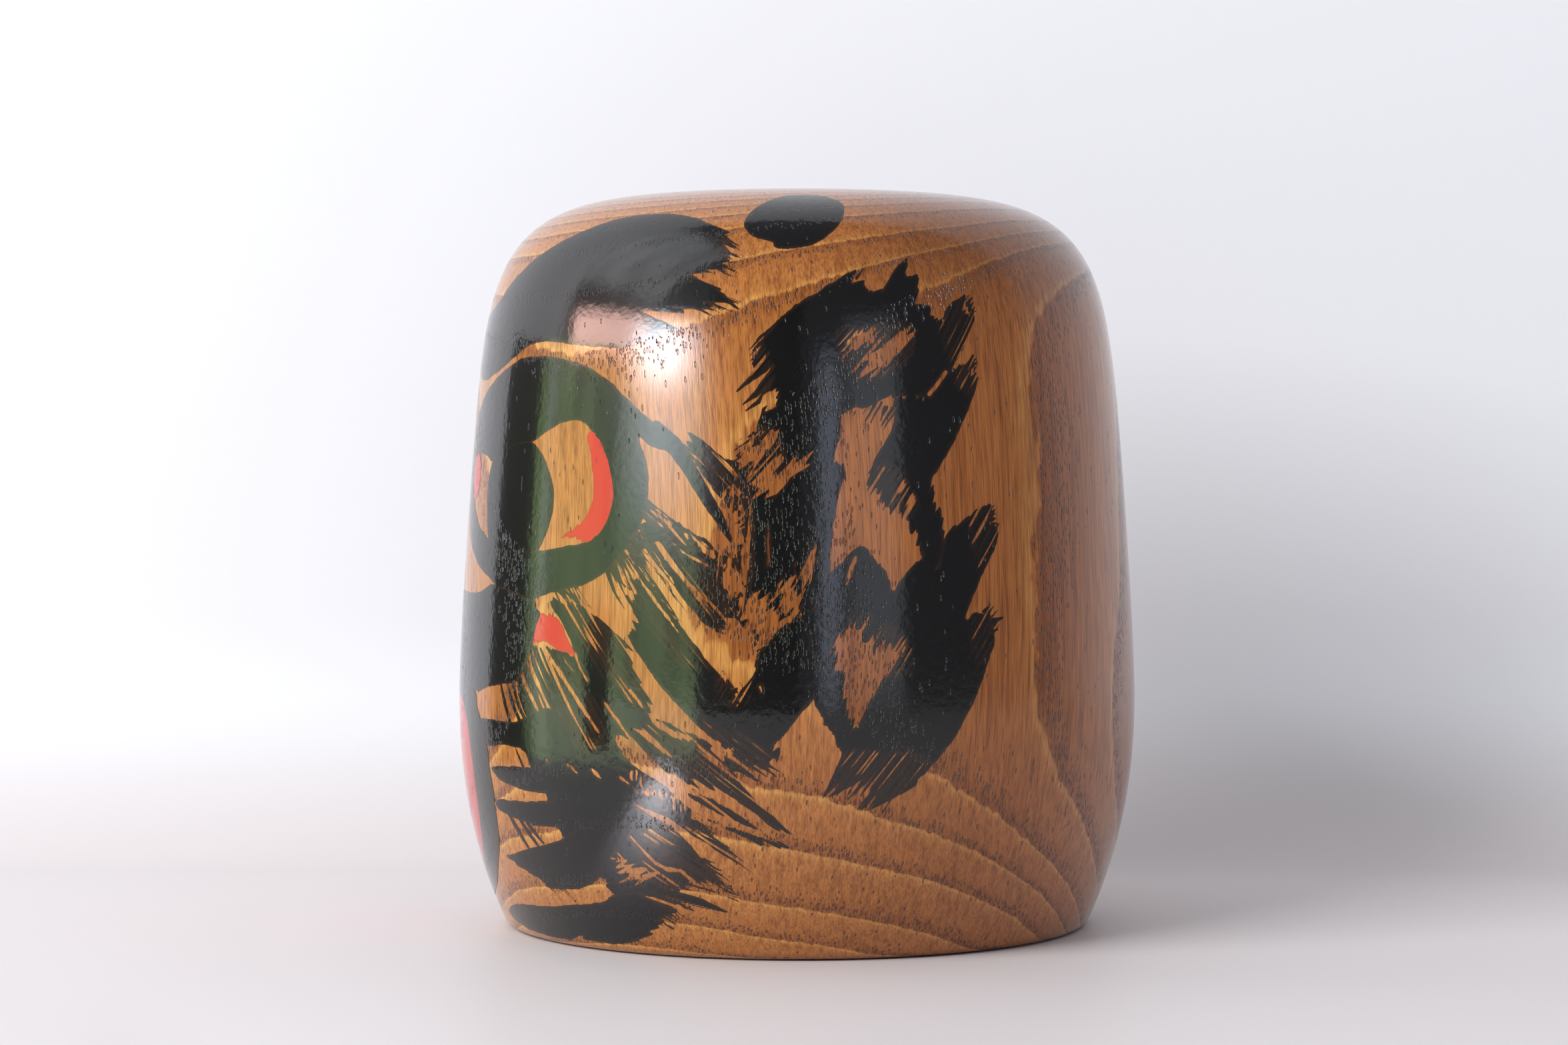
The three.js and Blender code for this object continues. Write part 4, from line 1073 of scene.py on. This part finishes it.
def paper_sweep():
    """Floor, a quarter-round cove and a wall in one smooth sheet: a floor tone low down and a
    paler one up the wall. It is clear from behind, so that the doll can be seen from there too,
    and a second floor just under it goes on past the wall."""
    material, tree, surface = fresh_material("paper_sweep")
    height = xyz(tree, add(tree, "ShaderNodeTexCoord").outputs["Object"])[2]
    on_wall = remap(tree, height, 0.0005, 0.03)
    shader = add(tree, "ShaderNodeBsdfPrincipled", {
        "Base Color": mix(tree, on_wall, srgb("#E0DAD9"), srgb("#F3F5F8")),
        "Roughness": maths(tree, "MULTIPLY_ADD", on_wall, 0.25, 0.47)}).outputs[0]
    clear = add(tree, "ShaderNodeBsdfTransparent").outputs[0]
    behind = add(tree, "ShaderNodeNewGeometry").outputs["Backfacing"]
    one_sided = add(tree, "ShaderNodeMixShader", {0: behind, 1: shader, 2: clear}).outputs[0]
    tree.links.new(one_sided, surface)

    arc = np.linspace(0, np.pi / 2, 17)
    away = np.r_[-FLOOR_REACH, WALL_BEHIND - COVE + COVE * np.sin(arc), WALL_BEHIND]
    up = np.r_[0, COVE * (1 - np.cos(arc)), WALL_TOP] - UNDER_DOLL
    away, up = np.r_[away, -FLOOR_REACH, FLOOR_REACH], np.r_[up, LOWER_FLOOR, LOWER_FLOOR]
    middle = toward(VIEW_ANGLE + 180, 1, 0)[None, :] * away[:, None] + up[:, None] * UP
    side = HALF_WIDTH * toward(VIEW_ANGLE + 90, 1, 0)
    n = len(away)
    i = np.r_[np.arange(n - 3), n - 2]       # every strip but the one between wall and lower floor
    quads = np.stack([i, i + n, i + n + 1, i + 1], -1)
    mesh = bpy.data.meshes.new("paper_sweep")
    mesh.from_pydata(np.r_[middle - side, middle + side].tolist(), [], quads.tolist())
    mesh.polygons.foreach_set("use_smooth", np.ones(len(quads), bool))
    mesh.materials.append(material)
    sweep = bpy.data.objects.new("paper_sweep", mesh)
    bpy.context.scene.collection.objects.link(sweep)
    return mesh


print("sweep faces up:", paper_sweep().polygons[0].normal[2] > 0)

# %% Light
AIM = 0.06               # m, the height on the doll's axis that the lamp and the cards face


def light_room():
    """The room's own dim light: one strength for what it lights, a lower one for what the
    lacquer mirrors of it, and one plain colour where the camera looks past the floor."""
    world = bpy.data.worlds.new("soft_room")
    bpy.context.scene.world = world
    world.use_nodes = True
    tree = world.node_tree
    tree.nodes.clear()
    path = add(tree, "ShaderNodeLightPath").outputs
    fill, mirrored, seen = (
        add(tree, "ShaderNodeBackground", {"Color": colour, "Strength": strength}).outputs[0]
        for colour, strength in (((0.9, 0.93, 1.0, 1), 0.47), ((0.86, 0.9, 1.0, 1), 0.17),
                                 (srgb("#E9EAEE"), 1.0)))
    room = add(tree, "ShaderNodeMixShader", {0: path["Is Glossy Ray"], 1: fill, 2: mirrored})
    whole = add(tree, "ShaderNodeMixShader", {
        0: path["Is Camera Ray"], 1: room.outputs[0], 2: seen})
    add(tree, "ShaderNodeOutputWorld", {0: whole.outputs[0]})


def daylight(angle, distance, height, size, radiance, colour):
    """The one lamp: a square window facing the doll. Its watts follow from how bright its face
    should look: radiance times pi times its area. The lacquer does not mirror it; the cards below
    are what the lacquer mirrors."""
    lamp = bpy.data.lights.new("daylight", "AREA")
    lamp.shape = "RECTANGLE"
    lamp.size, lamp.size_y = size
    lamp.energy = radiance * math.pi * size[0] * size[1]
    lamp.color = srgb(colour)[:3]
    holder = bpy.data.objects.new("daylight", lamp)
    holder.location = toward(angle, distance, height)
    tilt = math.atan2(height - AIM, distance)
    holder.rotation_euler = (math.pi / 2 - tilt, 0, math.radians(angle))
    holder.visible_glossy = holder.visible_camera = False
    bpy.context.scene.collection.objects.link(holder)
    return lamp


light_room()
print("lamp:", round(daylight(38, 1.3, 0.75, (0.9, 0.9), 8.4, "#FDFDFF").energy, 1), "W")

# %% Cards that only the lacquer mirrors
doll_only = bpy.data.collections.new("doll_only")
for piece in bpy.context.scene.objects:
    if piece.type == "MESH" and piece.name != "paper_sweep":
        doll_only.objects.link(piece)


def card(name, centre, across, rise, material):
    """A flat card with its own 0..1 UV square, seen by mirrored rays only."""
    mesh = bpy.data.meshes.new(name)
    corners = np.array([(-1, -1), (1, -1), (1, 1), (-1, 1)])
    places = [(centre + i * across + j * rise).tolist() for i, j in corners]
    mesh.from_pydata(places, [], [(0, 1, 2, 3)])
    mesh.uv_layers.new(name="face").data.foreach_set("uv", (corners * 0.5 + 0.5).ravel())
    mesh.materials.append(material)
    holder = bpy.data.objects.new(name, mesh)
    for kind in ("camera", "diffuse", "shadow"):
        setattr(holder, "visible_" + kind, False)
    holder.light_linking.receiver_collection = doll_only
    bpy.context.scene.collection.objects.link(holder)


def upright(angle, distance, height, size, faces=None):
    """Centre and half sides of a card that stands and faces the doll, or another angle."""
    tilt = math.atan2(height - AIM, distance)
    faces = angle if faces is None else faces
    rise = size[1] / 2 * (math.cos(tilt) * UP - math.sin(tilt) * toward(faces, 1, 0))
    return toward(angle, distance, height), toward(faces + 90, size[0] / 2, 0), rise


def glowing(name, radiance, colour, fade, mottled=0.0):
    """Light that thins out toward the card's edges, over a share `fade` of its width and height,
    and adds to whatever lies behind. Mottling lays upright light and dark bands over it."""
    material, tree, surface = fresh_material(name)
    face = add(tree, "ShaderNodeUVMap", uv_map="face").outputs[0]
    strength = radiance
    for side, share in zip(xyz(tree, face), fade):
        inward = maths(tree, "PINGPONG", side, 0.5)
        strength = maths(tree, "MULTIPLY", strength, remap(tree, inward, 0.0, share))
    if mottled:
        leafy = cloud(tree, vectors(tree, "MULTIPLY", face, (9.0, 1.6, 1.0)), 3.0)["Fac"]
        bands = remap(tree, leafy, 0.36, 0.66, 1 - mottled, 1 + mottled, smooth=False)
        strength = maths(tree, "MULTIPLY", strength, bands)
    light = add(tree, "ShaderNodeEmission", {
        "Color": srgb(colour), "Strength": strength}).outputs[0]
    clear = add(tree, "ShaderNodeBsdfTransparent").outputs[0]
    both = add(tree, "ShaderNodeAddShader", {0: light, 1: clear}).outputs[0]
    tree.links.new(both, surface)
    return material


# name, place, (radiance, colour, fade, mottling)
BRIGHT_CARDS = (
    ("window", upright(49.5, 0.112, 0.107, (0.056, 0.032)), (31.0, "#F3F6FF", (0.5, 0.5))),
    ("window_glow", upright(51, 0.112, 0.089, (0.074, 0.07)), (6.6, "#E9EFFF", (0.5, 0.5))),
    ("curtain", upright(29.5, 0.112, 0.112, (0.066, 0.025)), (16.0, "#F6C3B6", (0.16, 0.4))),
    ("upper_room", upright(0, 1.1, 1.25, (2.2, 1.4)), (1.9, "#F3F5F8", (0.1, 0.2), 0.3)),
    ("left_wall", upright(-84, 0.8, 0.3, (1.3, 0.95)), (3.1, "#E9EEF8", (0.06, 0.1))),
    ("leaves", upright(31.2, 0.142, 0.062, (0.172, 0.112), 25.5),
     (3.1, "#9DBB7C", (0.04, 0.06), 0.45)),
    # a strip of floor by the foot that shines back
    ("table_glint", (toward(50.5, 0.13, 0.0015), toward(140.5, 0.019, 0), toward(50.5, 0.08, 0)),
     (11.5, "#F4F2FA", (0.5, 0.5))),
    ("bright_gap", upright(VIEW_ANGLE + 11, 0.9, 0.17, (0.18, 0.42)), (2.5, "#D5DEF6", (0.4, 0.3))),
    ("grey_corner", upright(VIEW_ANGLE + 26, 0.9, 0.22, (0.34, 0.54)),
     (1.2, "#DDE2EC", (0.2, 0.25))),
)
BLACK_CARDS = (
    ("card_by_camera", upright(73, 0.75, 0.2, (0.44, 0.8))),
    ("card_by_face", upright(-12.2, 0.194, 0.055, (0.086, 0.13))),
    ("card_in_leaves", upright(33.4, 0.118, 0.037, (0.0165, 0.035))),
)
for name, place, look in BRIGHT_CARDS:
    card(name, *place, glowing(name, *look))
black_card, tree, surface = fresh_material("black_card")
soot = add(tree, "ShaderNodeBsdfDiffuse", {"Color": (0.004, 0.004, 0.004, 1)}).outputs[0]
tree.links.new(soot, surface)
for name, place in BLACK_CARDS:
    card(name, *place, black_card)
print(len(BRIGHT_CARDS), "bright cards and", len(BLACK_CARDS), "black ones")

# %% Camera
VIEW_DISTANCE, VIEW_HEIGHT = 0.584, 0.077            # m
LOOK_DOWN, LOOK_ASIDE = 1.45, 0.2                    # degrees
camera = bpy.data.cameras.new("camera")
camera.sensor_width = 36.0                           # mm
camera.lens = 85.8                                   # mm
camera.clip_start = 0.02
eye = bpy.data.objects.new("camera", camera)
eye.location = toward(VIEW_ANGLE, VIEW_DISTANCE, VIEW_HEIGHT)
eye.rotation_euler = (math.radians(90 - LOOK_DOWN), 0, math.radians(VIEW_ANGLE + LOOK_ASIDE))
bpy.context.scene.collection.objects.link(eye)
bpy.context.scene.camera = eye
bpy.context.scene.view_settings.view_transform = "Standard"
print("camera stands", VIEW_DISTANCE, "m away,", VIEW_ANGLE, "degrees round from the face")

# %% [markdown]
# ## The end
#
# The scene is brought up to date once more.

# %% Bring the scene up to date
bpy.context.view_layer.update()
